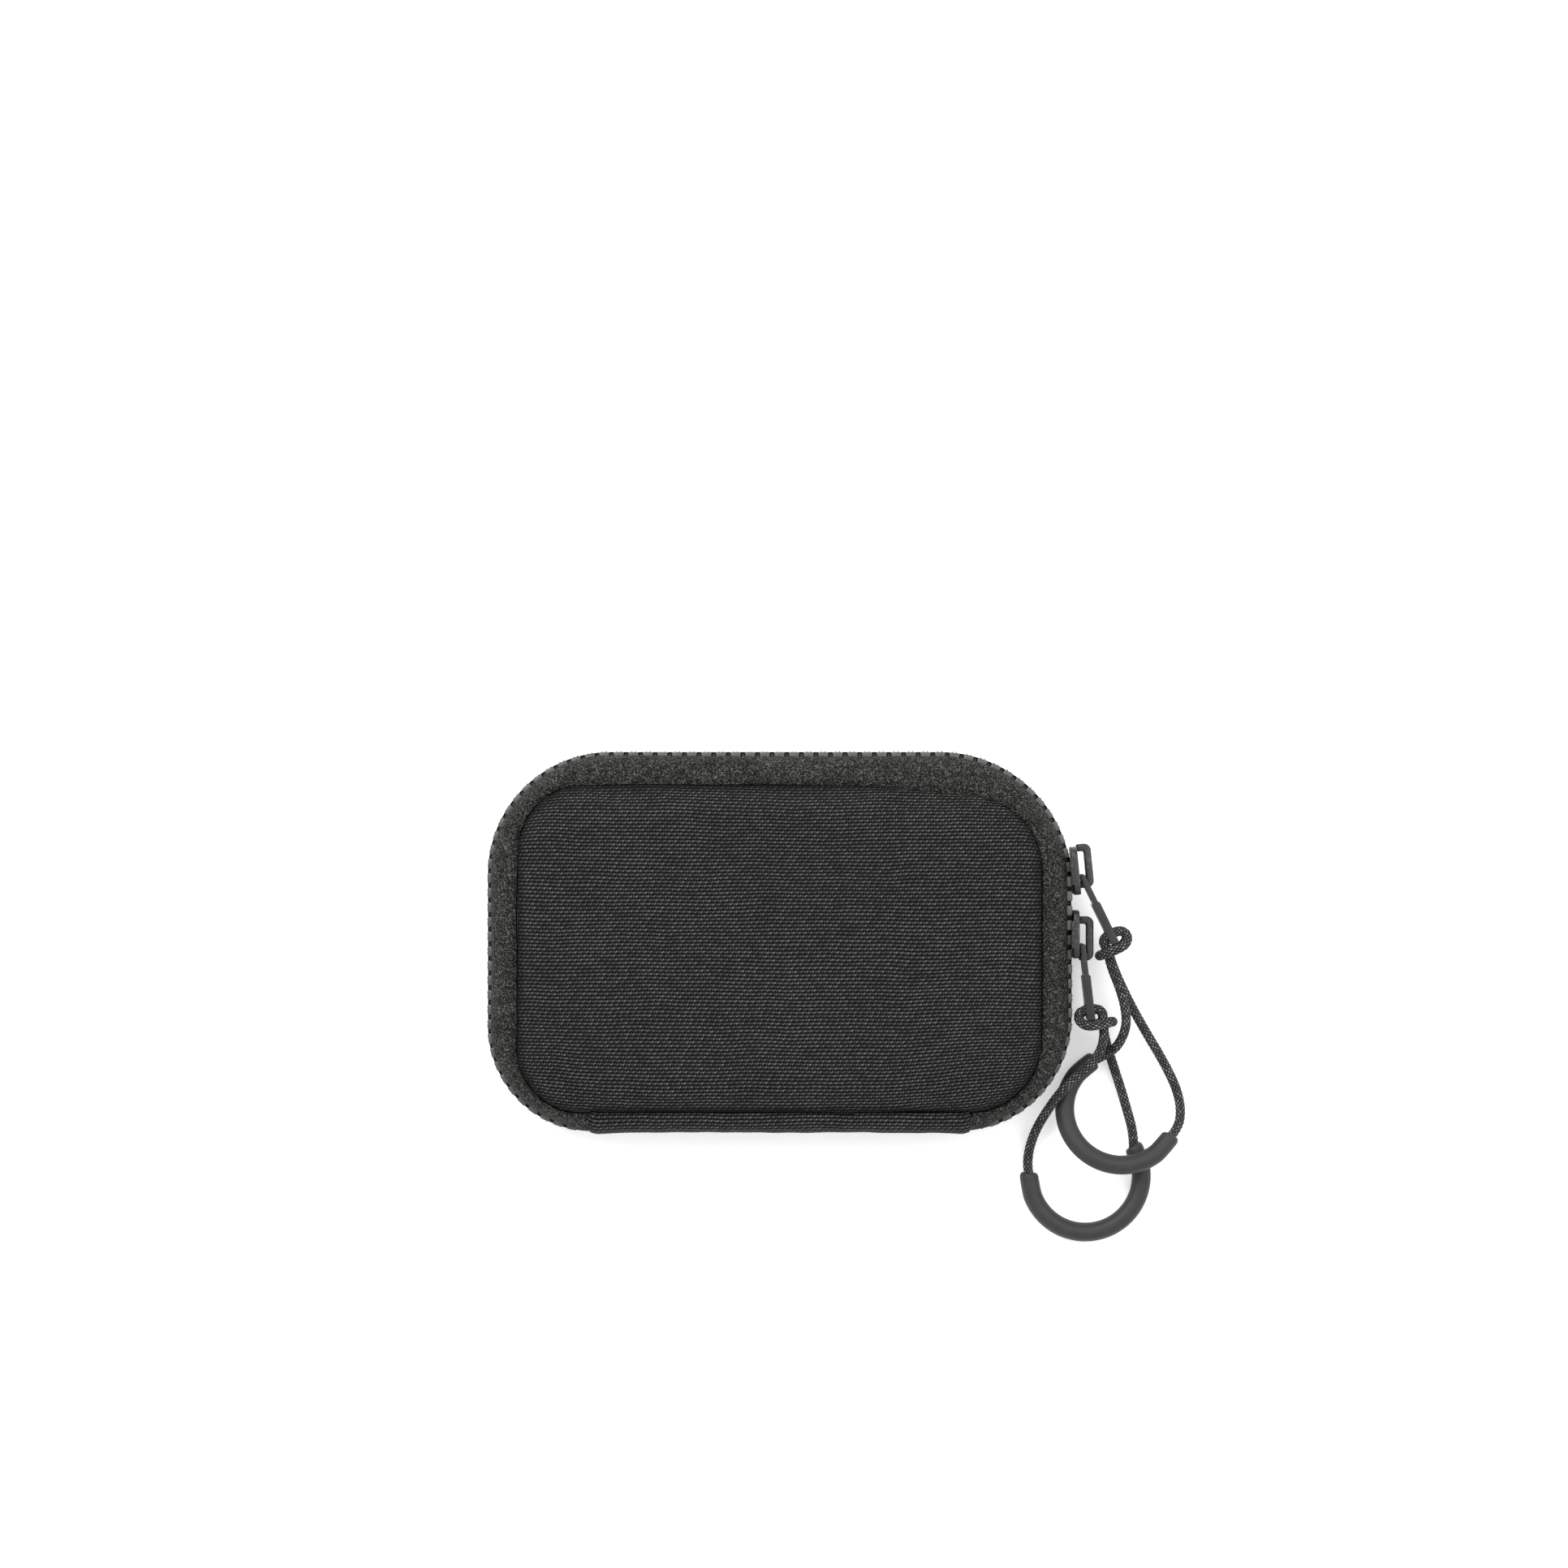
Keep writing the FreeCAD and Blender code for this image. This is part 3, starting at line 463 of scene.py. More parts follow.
RIM = Outline(62.0, 40.3, 40.3, (24.5, 28.0, 26.0, 22.5))
SEAM = Outline(55.8, 33.7, 36.2, (16.0, 19.0, 15.0, 14.0))
DENT_AT = Vector((38.0, 33.5))       # the panel's seam dips here, where its corner starts
DENT, DENT_REACH = 1.9, 13.0
WANDER = 0.28                        # how far the seam strays elsewhere


def seam_at(place, inset=0.0):
    """A point of the sewn seam, set in by a distance: a little uneven, as cloth is."""
    point, normal = SEAM.at(place)
    dent = DENT * math.exp(-((point - DENT_AT).length / DENT_REACH) ** 2)
    wander = WANDER * noise.noise(Vector((point.x * 0.07, point.y * 0.07, 3.1)))
    return point - normal * (inset + dent + wander), normal


# ---------------------------------------------------------------------- panels

SEAM_PLACES = SEAM.places(1.0)
# heights of the pad: its inner face, and its outer face before it is swollen
PANEL_INNER, PANEL_TOP = 7.25, 9.4
# the rolled edge as (inset from the seam, height), from the inner face to the outer one
PANEL_EDGE = [(0.9, PANEL_INNER), (0.3, 7.3), (0.05, 7.6), (0.3, 8.2), (0.9, 8.75), (1.9, 9.15),
              (3.6, PANEL_TOP)]
PANEL_HELD = 7.9     # below this the cloth is held by the seam
PANEL_FACE = 8.8     # above this it is the outer face, which gets its crown
FLOOR_GAP = 0.02     # the back panel rests this far above the floor
VOXEL = 1.1


def panel_rings():
    """Closed rings of the pad, from the middle of its inside round the edge to its middle."""
    edge_rings = [([seam_at(q, inset)[0] for q in SEAM_PLACES], height) for inset, height in PANEL_EDGE]
    first, last = edge_rings[0][0], edge_rings[-1][0]
    rings = [([p * share for p in first], PANEL_INNER) for share in (0.15, 0.4, 0.7, 0.9)]
    rings += edge_rings
    rings += [([p * share for p in last], PANEL_TOP)
              for share in (0.95, 0.88, 0.8, 0.7, 0.6, 0.5, 0.4, 0.3, 0.2, 0.1)]
    return [[(p.x, p.y, height) for p in ring] for ring, height in rings]


def remeshed(piece, voxel):
    """The same closed form in even faces."""
    modifier = piece.modifiers.new("even", "REMESH")
    modifier.mode = "VOXEL"
    modifier.voxel_size = voxel * MM
    graph = bpy.context.evaluated_depsgraph_get()
    mesh = bpy.data.meshes.new_from_object(piece.evaluated_get(graph))
    piece.modifiers.clear()
    piece.data = mesh


CLOTH_FRAMES = 20


def swollen(piece, held, pressure, cap):
    """Cloth simulation: the free side swells under pressure, and no point moves past the cap."""
    group = piece.vertex_groups.new(name="held")
    group.add([v.index for v in piece.data.vertices if held(v.co)], 1.0, "REPLACE")
    modifier = piece.modifiers.new("cloth", "CLOTH")
    cloth = modifier.settings
    cloth.quality = 4
    cloth.mass = 0.02
    cloth.vertex_group_mass = "held"
    cloth.use_pressure = True
    cloth.uniform_pressure_force = pressure
    cloth.effector_weights.gravity = 0.0
    modifier.point_cache.frame_start, modifier.point_cache.frame_end = 1, CLOTH_FRAMES
    for number in range(1, CLOTH_FRAMES + 1):
        scene.frame_set(number)
    graph = bpy.context.evaluated_depsgraph_get()
    done = bpy.data.meshes.new_from_object(piece.evaluated_get(graph))
    moved = []
    for vertex, goal in zip(piece.data.vertices, done.vertices):
        shift = goal.co - vertex.co
        moved.append(shift.length)
        vertex.co += shift * min(1.0, cap * MM / max(shift.length, 1e-9))
    bpy.data.meshes.remove(done)
    piece.modifiers.clear()
    piece.vertex_groups.clear()
    scene.frame_set(1)
    print(f"{piece.name}: cloth moved {max(moved) / MM:.2f} mm at most")


SEAM_TREE = kdtree.KDTree(len(SEAM_PLACES))
for number, seam_place in enumerate(SEAM_PLACES):
    SEAM_TREE.insert((*seam_at(seam_place)[0], 0.0), number)
SEAM_TREE.balance()


def row_rise(x, y):
    """How far the panel's rows of weave climb towards its two low corners, less their dip at the top."""
    def rise(value, low, high):
        share = min(1.0, max(0.0, (value - low) / (high - low)))
        return share * share * (3 - 2 * share)
    right = 3.4 * rise(x, 18, 56) * rise(-y, 8, 36)
    left = 1.6 * rise(-x, 30, 56) * rise(-y, 14, 36)
    dip = 1.2 * rise(x, -60, 10) * (1 - rise(x, 10, 60)) * rise(y, 8, 34)
    return right + left - dip


EDGE_STRETCH = 0.85  # cloth taken up over the rolled edge, for each millimetre that it drops


def panel_marks(piece, sign):
    """Cloth coordinates that follow the rows of weave over the rolled edge, and the way to the seam, which
    sets the painted shade near it.
    """
    places, from_seam = [], []
    for vertex in piece.data.vertices:
        x, y, z = vertex.co / MM
        height = sign * (z - MID)
        _, number, _ = SEAM_TREE.find((x, y, 0.0))
        normal = SEAM.at(SEAM_PLACES[number])[1]
        drop = max(0.0, PANEL_TOP - height) * EDGE_STRETCH
        places.append((x + normal.x * drop, y + normal.y * drop - row_rise(x, y)))
        inside = (Vector((x, y)) - SEAM.at(SEAM_PLACES[number])[0]).dot(-normal)
        from_seam.append((max(0.0, inside), 0.0))
    for layer_name, marks in (("cloth", places), ("seam", from_seam)):
        layer = piece.data.uv_layers.new(name=layer_name)
        for corner, loop in zip(layer.data, piece.data.loops):
            corner.uv = marks[loop.vertex_index]


def make_panels():
    """The two padded panels: one swollen form, facing out of each half."""
    model = add_grid("front_padded_panel", panel_rings(), WEAVE, lambda i, j: (0.0, 0.0))
    remeshed(model, VOXEL)
    swollen(model, lambda co: co.z < PANEL_HELD * MM, pressure=4.0, cap=0.5)
    for vertex in model.data.vertices:
        x, y, height = vertex.co / MM
        away = SEAM_TREE.find((x, y, 0.0))[2]
        if height > PANEL_FACE:
            crown = 0.2 * min(1.0, away / 14.0)
            slack = 0.16 * noise.noise(Vector((x * 0.045, y * 0.06, 7.7)))
            pucker = 0.10 * noise.noise(Vector((x * 0.32, y * 0.32, 1.3))) * math.exp(-away / 4.0)
            vertex.co.z = (height + crown + slack + pucker) * MM
    for name, sign in (("front", 1), ("back", -1)):
        piece = model
        if sign < 0:
            piece = bpy.data.objects.new(f"{name}_padded_panel", model.data.copy())
            scene.collection.objects.link(piece)
        for vertex in piece.data.vertices:
            height = vertex.co.z / MM
            if sign < 0:
                height = min(height, MID - FLOOR_GAP)
            vertex.co.z = (MID + sign * height) * MM
        panel_marks(piece, sign)
        if not piece.data.materials:
            piece.data.materials.append(WEAVE)
        face_outwards(piece)
        piece.data.shade_smooth()
        subdivide(piece)
        settle(piece, f"{name}_half", "weave", f"{name}_panel", f"{name}_foam")


make_panels()


# --------------------------------------------------------- linings and bindings

LINING_INNER, LINING_OUTER = 6.3, 6.9    # heights of the lining's two faces
LINING_HELD = 0.985                      # past this share of the way to its edge it lies flat


def make_lining(name, sign):
    """The inner face of one half: taffeta that lies a little loose on the foam."""
    shares = (0.12, 0.3, 0.5, 0.7, 0.85, 0.94, LINING_HELD, 1.0)
    rim = [seam_at(q, 0.5)[0] for q in SEAM_PLACES]
    rings = []
    for low, order in ((LINING_INNER, shares), (LINING_OUTER, shares[::-1])):
        for share in order:
            ring = []
            for p in rim:
                x, y = p * share
                loose = 0.22 * noise.noise(Vector((x * 0.09, y * 0.12, 5.0 + sign)))
                ring.append((x, y, MID + sign * (low + loose * (share < LINING_HELD))))
            rings.append(ring)
    piece = add_grid(f"{name}_lining_cloth", rings, LINING,
                     lambda i, j: tuple(rings[i % len(rings)][j % len(rim)][:2]))
    settle(piece, f"{name}_half", "lining", f"{name}_lining")
    wide, deep = (max(p[k] for p in rim) - min(p[k] for p in rim) for k in (0, 1))
    area = abs(sum(a.cross(b) for a, b in zip(rim, rim[1:] + rim[:1]))) / 2
    wide * MM
    deep * MM
    area * MM * MM


# the binding's section, as (inset from the seam, height)
BINDING_SECTION = [(0.2, 5.5), (1.0, 5.42), (1.8, 5.5), (1.9, 5.78), (1.8, 6.08), (1.0, 6.12), (0.2, 6.08),
                   (0.1, 5.8)]
STITCH_EVERY = 3     # places along the seam
STITCH_INSET = 1.35
STITCH_REACH = 0.95  # half a stitch's length
# a stitch's four sections, as (share of its reach, height, half width): its ends dive into the tape
STITCH = ((-1, 5.5, 0.03), (-0.5, 5.3, 0.14), (0.5, 5.3, 0.14), (1, 5.5, 0.03))


def make_binding(name, sign):
    """The folded tape over the raw seam, with its line of stitches."""
    rows = [[(*seam_at(q, inset)[0], MID + sign * height) for q in SEAM_PLACES]
            for inset, height in BINDING_SECTION]
    piece = add_grid(f"{name}_binding_tape", rows, BINDING, lambda i, j: (j * 1.0, i * 0.5), True)
    subdivide(piece)
    settle(piece, f"{name}_half", "binding", f"{name}_seam_binding")
    points, faces = [], []
    for place in SEAM_PLACES[::STITCH_EVERY]:
        centre, normal = seam_at(place, STITCH_INSET)
        along = Vector((-normal.y, normal.x))
        start = len(points)
        for share, height, half in STITCH:
            at = centre + along * (share * STITCH_REACH)
            for side, lift in ((-1, 0), (0, -0.1), (1, 0), (0, 0.12)):
                p = at + normal * (side * half)
                points.append((p.x, p.y, MID + sign * (height + lift * (half > 0.1))))
        for i in range(3):
            for j in range(4):
                a, b = start + 4 * i + j, start + 4 * i + (j + 1) % 4
                faces.append([a, b, b + 4, a + 4])
        faces += [[start + 3, start + 2, start + 1, start], [start + 12 + j for j in range(4)]]
    stitches = add_piece(f"{name}_binding_stitches", points, faces, THREAD)
    face_outwards(stitches)
    settle(stitches, f"{name}_half", "binding")


for half_name, half_sign in (("front", 1), ("back", -1)):
    make_lining(half_name, half_sign)
    make_binding(half_name, half_sign)


# ------------------------------------------------------------------- zip tapes

GUSSET_END = 40.2    # half the gusset's length
TAPE_TUCK = 2.2      # how far the tape's ends run in under the gusset's


def tape_end(side):
    """Where on the rim the tape ends, as a place: side is 1 for right, -1 for left."""
    centre, radius, _ = RIM.parts[0 if side > 0 else 3]
    turn = math.degrees(math.asin((GUSSET_END - TAPE_TUCK - abs(centre.x)) / radius))
    return turn / 90 if side > 0 else 6 + (90 - turn) / 90


TAPE_STEP = 1.1
RIM_PLACES = RIM.places(TAPE_STEP, tape_end(1), tape_end(-1))
TAPE_LOW = 1.35      # height of the tape's low edge, beside the teeth
TAPE_FLOOR = 2.6     # height where it leaves the upright wall and starts to roll over
TAPE_ROUND = 5.0     # how much higher the rolled part goes
TAPE_EDGE = 0.95     # inset of the wall's outer face from the teeth's crowns
TAPE_BACK = 1.45     # inset of its inner face
TAPE_DIP = 0.6       # how far the tape sinks where it meets the panel's seam
TAPE_SHORT = 0.12    # the roll's full reach stops this far short of the seam
# Close to the gusset the tape closes up: its wall comes out and its low edge drops to the mid plane.
CLOSE_FROM, CLOSE_OVER = 45.5, 2.0
CLOSE_OUT, CLOSE_DROP = 0.75, 0.93


def tape_profile():
    """The tape's section as (inset share, inset in mm, height), outside first, then back inside."""
    outer = [(0.0, TAPE_EDGE + 0.1, TAPE_LOW), (0.0, TAPE_EDGE, 1.9), (0.0, TAPE_EDGE, TAPE_FLOOR)]
    for k in range(1, 11):
        turn = math.radians(9 * k)
        share = 1 - math.cos(turn)
        dip = TAPE_DIP * max(0.0, (share - 0.62) / 0.38) ** 2
        outer.append((share, TAPE_EDGE, TAPE_FLOOR + TAPE_ROUND * math.sin(turn) - dip))
    # its end is tucked in under the panel
    outer += [(1.03, TAPE_EDGE, 6.98), (1.09, TAPE_EDGE, 6.95)]
    inner = [(1.08, TAPE_EDGE, 6.6), (0.93, TAPE_EDGE, 6.5)]
    for k in range(9, 0, -1):
        turn = math.radians(10 * k)
        inner.append(((1 - math.cos(turn)) * 0.87, TAPE_BACK, TAPE_FLOOR + 4.0 * math.sin(turn)))
    inner += [(0.0, TAPE_BACK, TAPE_FLOOR), (0.0, TAPE_BACK, TAPE_LOW)]
    return outer + inner


def make_tape(name, sign):
    """The zip tape: knit that stands at the rim, then rolls over to the panel's seam."""
    profile = tape_profile()
    rows = []
    for q in RIM_PLACES:
        rim = RIM.at(q)[0]
        edge = seam_at(q, -TAPE_SHORT)[0]
        reach = (edge - rim).length
        way = (edge - rim).normalized()
        closed = min(1.0, max(0.0, (CLOSE_FROM - abs(rim.x)) / CLOSE_OVER)) if rim.y < 0 else 0.0
        row = []
        for share, start, height in profile:
            start -= CLOSE_OUT * closed
            if height < 2:
                height *= 1 - CLOSE_DROP * closed
            p = rim + way * (start + (reach - start) * share)
            bend = share * (1 - min(share, 1.0)) * 4
            ripple = noise.noise(Vector((rim.x * 0.11, rim.y * 0.11, 2.0 + sign))) * 0.32
            ripple += noise.noise(Vector((rim.x * 0.33, rim.y * 0.33, 6.0 + share))) * 0.12
            swell = (ripple - 0.15) * bend
            row.append((p.x - way.x * swell, p.y - way.y * swell, MID + sign * (height + swell * 0.8)))
        rows.append(row)
    piece = add_grid(f"{name}_zip_tape_knit", rows, KNIT, lambda i, j: (i * TAPE_STEP, j * 0.7))
    subdivide(piece)
    settle(piece, f"{name}_half", "zip_tape", f"{name}_zip_tape")


for half_name, half_sign in (("front", 1), ("back", -1)):
    make_tape(half_name, half_sign)


# ----------------------------------------------------------------- base gusset

BASE_Y = -40.3       # the base's outer face
GUSSET_SEAM_Y, GUSSET_DEPTH = -36.0, 4.3     # where the gusset starts, and how far out the base is
GUSSET_STEPS = 120
HEM, HEM_TUCK = 2.2, 0.5                     # this much at each end thins, by the tuck on each side


def gusset_section():
    """The gusset's section as (y, height): from the panel's seam over the edge to the mid plane, then
    back inside."""
    outer = [(-35.9, 7.05), (-36.1, 7.5), (-36.7, 7.78)]
    for k in range(1, 10):
        turn = math.radians(10 * k)
        outer.append((-36.6 - 3.7 * math.sin(turn), 4.05 + 3.72 * math.cos(turn)))
    outer += [(BASE_Y, 3.3), (BASE_Y - 0.02, 2.3), (BASE_Y, 1.2), (BASE_Y, 0.0)]
    inner = [(-39.2, 0.0), (-39.2, 2.3), (-39.2, 3.9)]
    for k in range(3, -1, -1):
        turn = math.radians(22.5 * k)
        inner.append((-36.4 - 2.8 * math.sin(turn), 3.9 + 2.8 * math.cos(turn)))
    return outer + inner


GUSSET_OUTER = 15    # the section's last point on its outer side


def make_gusset(name, sign):
    """Half of the woven gusset, from one panel's seam to the middle of the base."""
    section = gusset_section()
    rows = []
    for i in range(GUSSET_STEPS + 1):
        x = -GUSSET_END + 2 * GUSSET_END * i / GUSSET_STEPS
        tuck = HEM_TUCK * max(0.0, 1 - (GUSSET_END - abs(x)) / HEM) ** 2
        row = []
        for k, (y, height) in enumerate(section):
            depth = (GUSSET_SEAM_Y - y) / GUSSET_DEPTH
            wave = noise.noise(Vector((x * 0.06, 0.3, 4.0))) * 0.45 * depth
            wave += noise.noise(Vector((x * 0.25, height * 0.15, 9.0))) * 0.15 * depth
            fold = 0.35 * math.exp(-((GUSSET_END - abs(x)) / 5.0) ** 2) * depth
            lift = 0.0
            if height > 0.6:
                lift = noise.noise(Vector((x * 0.1, y * 0.2, 1.5))) * 0.25 * (1 - depth)
            inwards = tuck if k <= GUSSET_OUTER else -tuck
            row.append((x, y - wave * 0.6 - fold + inwards, MID + sign * (height + lift)))
        rows.append(row)
    lengths = [0.0]
    for (ya, ha), (yb, hb) in zip(section, section[1:] + section[:1]):
        lengths.append(lengths[-1] + math.hypot(yb - ya, hb - ha))
    piece = add_grid(f"{name}_base_gusset_cloth", rows, GUSSET_WEAVE,
                     lambda i, j: (2 * GUSSET_END * i / GUSSET_STEPS, -lengths[j]))
    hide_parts("base_gusset", f"{name}_gusset_edge")
    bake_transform(piece)


make_gusset("back", -1)
make_gusset("front", 1)


BASE_LINING_HALF = 38.2
BASE_LINING_STEPS = 40
# the strip's section, as (y, distance from the mid plane)
BASE_LINING_SECTION = [(-39.18, -3.0), (-39.0, -3.12), (-38.8, -3.0), (-38.7, 0.0), (-38.8, 3.0),
                       (-39.0, 3.12), (-39.18, 3.0)]


def make_base_lining():
    """The lining strip inside the base."""
    rows = []
    for i in range(BASE_LINING_STEPS + 1):
        x = BASE_LINING_HALF * (2 * i / BASE_LINING_STEPS - 1)
        loose = 0.12 * noise.noise(Vector((x * 0.12, 2.0, 8.0)))
        rows.append([(x, y + loose, MID + z) for y, z in BASE_LINING_SECTION])
    piece = add_grid("base_lining_cloth", rows, LINING, lambda i, j: (i * 1.9, j * 1.0))
    subdivide(piece)
    settle(piece, "base", "lining", "base_lining")


make_base_lining()


# ------------------------------------------------------------------- zip teeth

PITCH = 3.1          # of the teeth in one row
TOOTH_LEAD = {1: 0.25, -1: 0.75}     # a row's first tooth, in pitches: the two rows alternate
TOOTH_JITTER = 1.2   # degrees
# a tooth's block and its head, as (size, middle, bevel): out, along the rim, away from the mid plane
TOOTH_PARTS = (((1.9, 2.2, 1.95), (-0.95, 0.0, 1.525), 0.34),
               ((1.5, 0.75, 1.3), (-0.95, 0.0, 0.1), 0.2))
SPREAD = 1.35        # how far the sliders hold a row away from the mid plane
SPREAD_X = 61.0      # they are on the rim past this x
SPREAD_Y, SPREAD_HALF, SPREAD_FADE = 8.3, 5.2, 4.0   # their middle, and how far each way it holds and fades


def tooth_model(sign):
    """One bevelled tooth as a bmesh: a block astride the tape's edge, and its narrow head."""
    work = bmesh.new()
    for size, middle, bevel in TOOTH_PARTS:
        made = bmesh.ops.create_cube(work, size=1.0)["verts"]
        for vertex in made:
            vertex.co = Vector((vertex.co.x * size[0] + middle[0], vertex.co.y * size[1] + middle[1],
                                (vertex.co.z * size[2] + middle[2]) * sign))
        edges = [edge for edge in work.edges if edge.verts[0] in made]
        bmesh.ops.bevel(work, geom=edges, offset=bevel, segments=2, profile=0.6, affect="EDGES")
    bmesh.ops.recalc_face_normals(work, faces=work.faces)
    return work


def rim_runs():
    """The rim from the gusset's left end clockwise to its right end, as arcs and sides."""
    centres = [RIM.parts[3], RIM.parts[2], RIM.parts[1], RIM.parts[0]]
    spans = [[-90.0, -180.0], [180.0, 90.0], [90.0, 0.0], [0.0, -90.0]]
    for i, k, sign in ((0, 0, -1), (3, 1, 1)):
        centre, radius, _ = centres[i]
        spans[i][k] += sign * math.degrees(math.asin((GUSSET_END + 0.4 - abs(centre.x)) / radius))
    runs = []
    for i, ((centre, radius, _), (first, last)) in enumerate(zip(centres, spans)):
        runs.append(("arc", math.radians(first - last) * radius, centre, radius, first))
        if i < 3:
            next_centre, next_radius, _ = centres[i + 1]
            normal = Vector((math.cos(math.radians(last)), math.sin(math.radians(last))))
            start, stop = centre + normal * radius, next_centre + normal * next_radius
            runs.append(("side", (stop - start).length, start, stop, last))
    return runs


def on_rim(runs, distance):
    """The point a distance along the rim and the heading of its outward normal, in degrees."""
    for kind, length, first, second, heading in runs:
        if distance <= length:
            break
        distance -= length
    if kind == "side":
        return first + (second - first) * (distance / length), heading
    heading -= math.degrees(distance / second)
    normal = Vector((math.cos(math.radians(heading)), math.sin(math.radians(heading))))
    return first + normal * second, heading


def make_teeth(name, sign):
    """A row of teeth along one tape's edge, half a pitch off the other row."""
    runs = rim_runs()
    total = sum(run[1] for run in runs)
    count = int((total - PITCH) / PITCH)
    first = (total - count * PITCH) / 2 + TOOTH_LEAD[sign] * PITCH
    model = tooth_model(sign)
    points, faces = [], []
    for k in range(count):
        point, heading = on_rim(runs, first + k * PITCH)
        apart = 0.0
        if point.x > SPREAD_X:
            past = (abs(point.y - SPREAD_Y) - SPREAD_HALF) / SPREAD_FADE
            apart = SPREAD * min(1.0, max(0.0, 1.0 - past))
        heading += TOOTH_JITTER * noise.noise(Vector((k * 1.7, sign, 0.5)))
        spin = Matrix.Rotation(math.radians(heading), 3, "Z")
        start = len(points)
        for vertex in model.verts:
            p = spin @ vertex.co
            points.append((p.x + point.x, p.y + point.y, p.z + MID + sign * apart))
        faces += [[start + v.index for v in face.verts] for face in model.faces]
    model.free()
    piece = add_piece(f"{name}_zip_teeth_moulded", points, faces, TOOTH)
    settle(piece, f"{name}_half", "zip_teeth", f"{name}_zip_teeth")


for half_name, half_sign in (("front", 1), ("back", -1)):
    make_teeth(half_name, half_sign)


# ------------------------------------------------------ sliders, bails and tabs

def add_edged_copy(node, name, body, slot, material, width):
    """A cast part: a copy of the CAD node's shape, with its sharp edges rounded."""
    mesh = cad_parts[node].data.copy()
    work = bmesh.new()
    work.from_mesh(mesh)
    bmesh.ops.remove_doubles(work, verts=work.verts, dist=0.002 * MM)
    bmesh.ops.dissolve_limit(work, angle_limit=math.radians(1.5), verts=work.verts, edges=work.edges)
    bmesh.ops.recalc_face_normals(work, faces=work.faces)
    work.to_mesh(mesh)
    work.free()
    mesh.materials.clear()
    mesh.materials.append(material)
    mesh.shade_smooth()
    piece = bpy.data.objects.new(name, mesh)
    scene.collection.objects.link(piece)
    bevel = piece.modifiers.new("edges", "BEVEL")
    bevel.width = width * MM
    bevel.segments = 3
    bevel.limit_method = "ANGLE"
    bevel.angle_limit = math.radians(32)
    bevel.harden_normals = True
    settle(piece, body, slot, node)


for which in ("upper", "lower"):
    slider, tab = f"slider_{which}", f"tab_{which}"
    add_edged_copy(f"slider_body_{which}", f"slider_{which}_cast", slider, "slider_metal", SLIDER, 0.22)
    add_edged_copy(f"bail_{which}", f"bail_{which}_cast", slider, "slider_metal", SLIDER, 0.4)
    add_edged_copy(f"pull_tab_{which}", f"pull_tab_{which}_cast", tab, "tab_metal", TAB, 0.2)


# --------------------------------------------------------------- cord pullers

PULLER_RADIUS = 12.0   # of the U's middle line
PULLER_BAR = 2.05      # radius of its bar
PULLER_ROUND, PULLER_STEPS = 28, 60
# where each U lies, and its arc's first and last heading in degrees
PULLERS = {
    "upper": (Matrix.Translation((72.75, -36.0, 4.5))
              @ Matrix.Rotation(math.radians(14.5), 4, Vector((-0.985, 0.174, 0.0))), 124, 325),
    "lower": (Matrix.Translation((65.3, -50.3, 2.15)), 184, 385),
}
BLUNT = 1.6            # how far the moulded end runs on past the arc's end
# an end, from inside its hole out over its lip to the bar, as (how far past the end, radius)
MOUTH = [(-0.9, 0.5), (-0.9, 1.08), (-0.25, 1.12), (-0.04, 1.25), (0.0, 1.4), (-0.06, 1.62), (-0.28, 1.87),
         (-0.62, 2.0), (-1.1, PULLER_BAR)]


def make_puller(name):
    """A moulded U with blunt, rounded ends and a hole in each for the cord."""
    place, first, last = PULLERS[name]
    overrun = math.degrees(BLUNT / PULLER_RADIUS)
    first, last = first - overrun, last + overrun
    length = math.radians(last - first) * PULLER_RADIUS
    steps = [(-x, r) for x, r in MOUTH]
    steps += [(length * k / PULLER_STEPS, PULLER_BAR) for k in range(6, PULLER_STEPS - 5)]
    steps += [(length + x, r) for x, r in reversed(MOUTH)]
    rows = []
    for along, bar in steps:
        turn = math.radians(first) + along / PULLER_RADIUS
        out = Vector((math.cos(turn), math.sin(turn), 0.0))
        deep = bar * (0.97 if bar > 1.9 else 1.0)
        row = []
        for k in range(PULLER_ROUND):
            around = 2 * math.pi * k / PULLER_ROUND
            p = out * (PULLER_RADIUS + bar * math.cos(around))
            row.append(tuple(place @ (p + Vector((0, 0, deep * math.sin(around))))))
        rows.append(row)
    piece = add_grid(f"cord_puller_{name}_moulded", rows, PULLER, lambda i, j: (0.0, 0.0))
    subdivide(piece)
    settle(piece, f"puller_{name}", "puller_plastic", f"cord_puller_{name}")


make_puller("upper")
make_puller("lower")


# ------------------------------------------------------------------------ cords

CORD = 2.1           # the cord's diameter
CORD_STEP = 0.2      # between its rings
CORD_AROUND = 32
BRAID_RELIEF = 0.09  # how far the braid's diamonds stand up
INTO_PULLER = PULLER_BAR - 0.8       # how far past the arc's end the cord's last point is
# half of the cord's own knot on a tab: along the tab, out of its face, across it
KNOT_HALF = [(16.6, 2.3, 1.15), (13.6, 2.4, 1.15), (13.6, -2.3, 1.25), (15.7, -2.9, 2.1),
             (17.0, -1.4, 3.5), (16.9, 1.6, 3.55), (16.7, 4.35, 1.6)]
KNOT_SHIFT = 0.3     # of the whole knot, out of the tab's face
# each tab's pivot, its heading in degrees, and which of its faces the knot starts on
TABS = {"upper": ((64.245, 13.806, MID), -64.0, -1), "lower": ((64.25, -0.9, MID), -83.5, 1)}
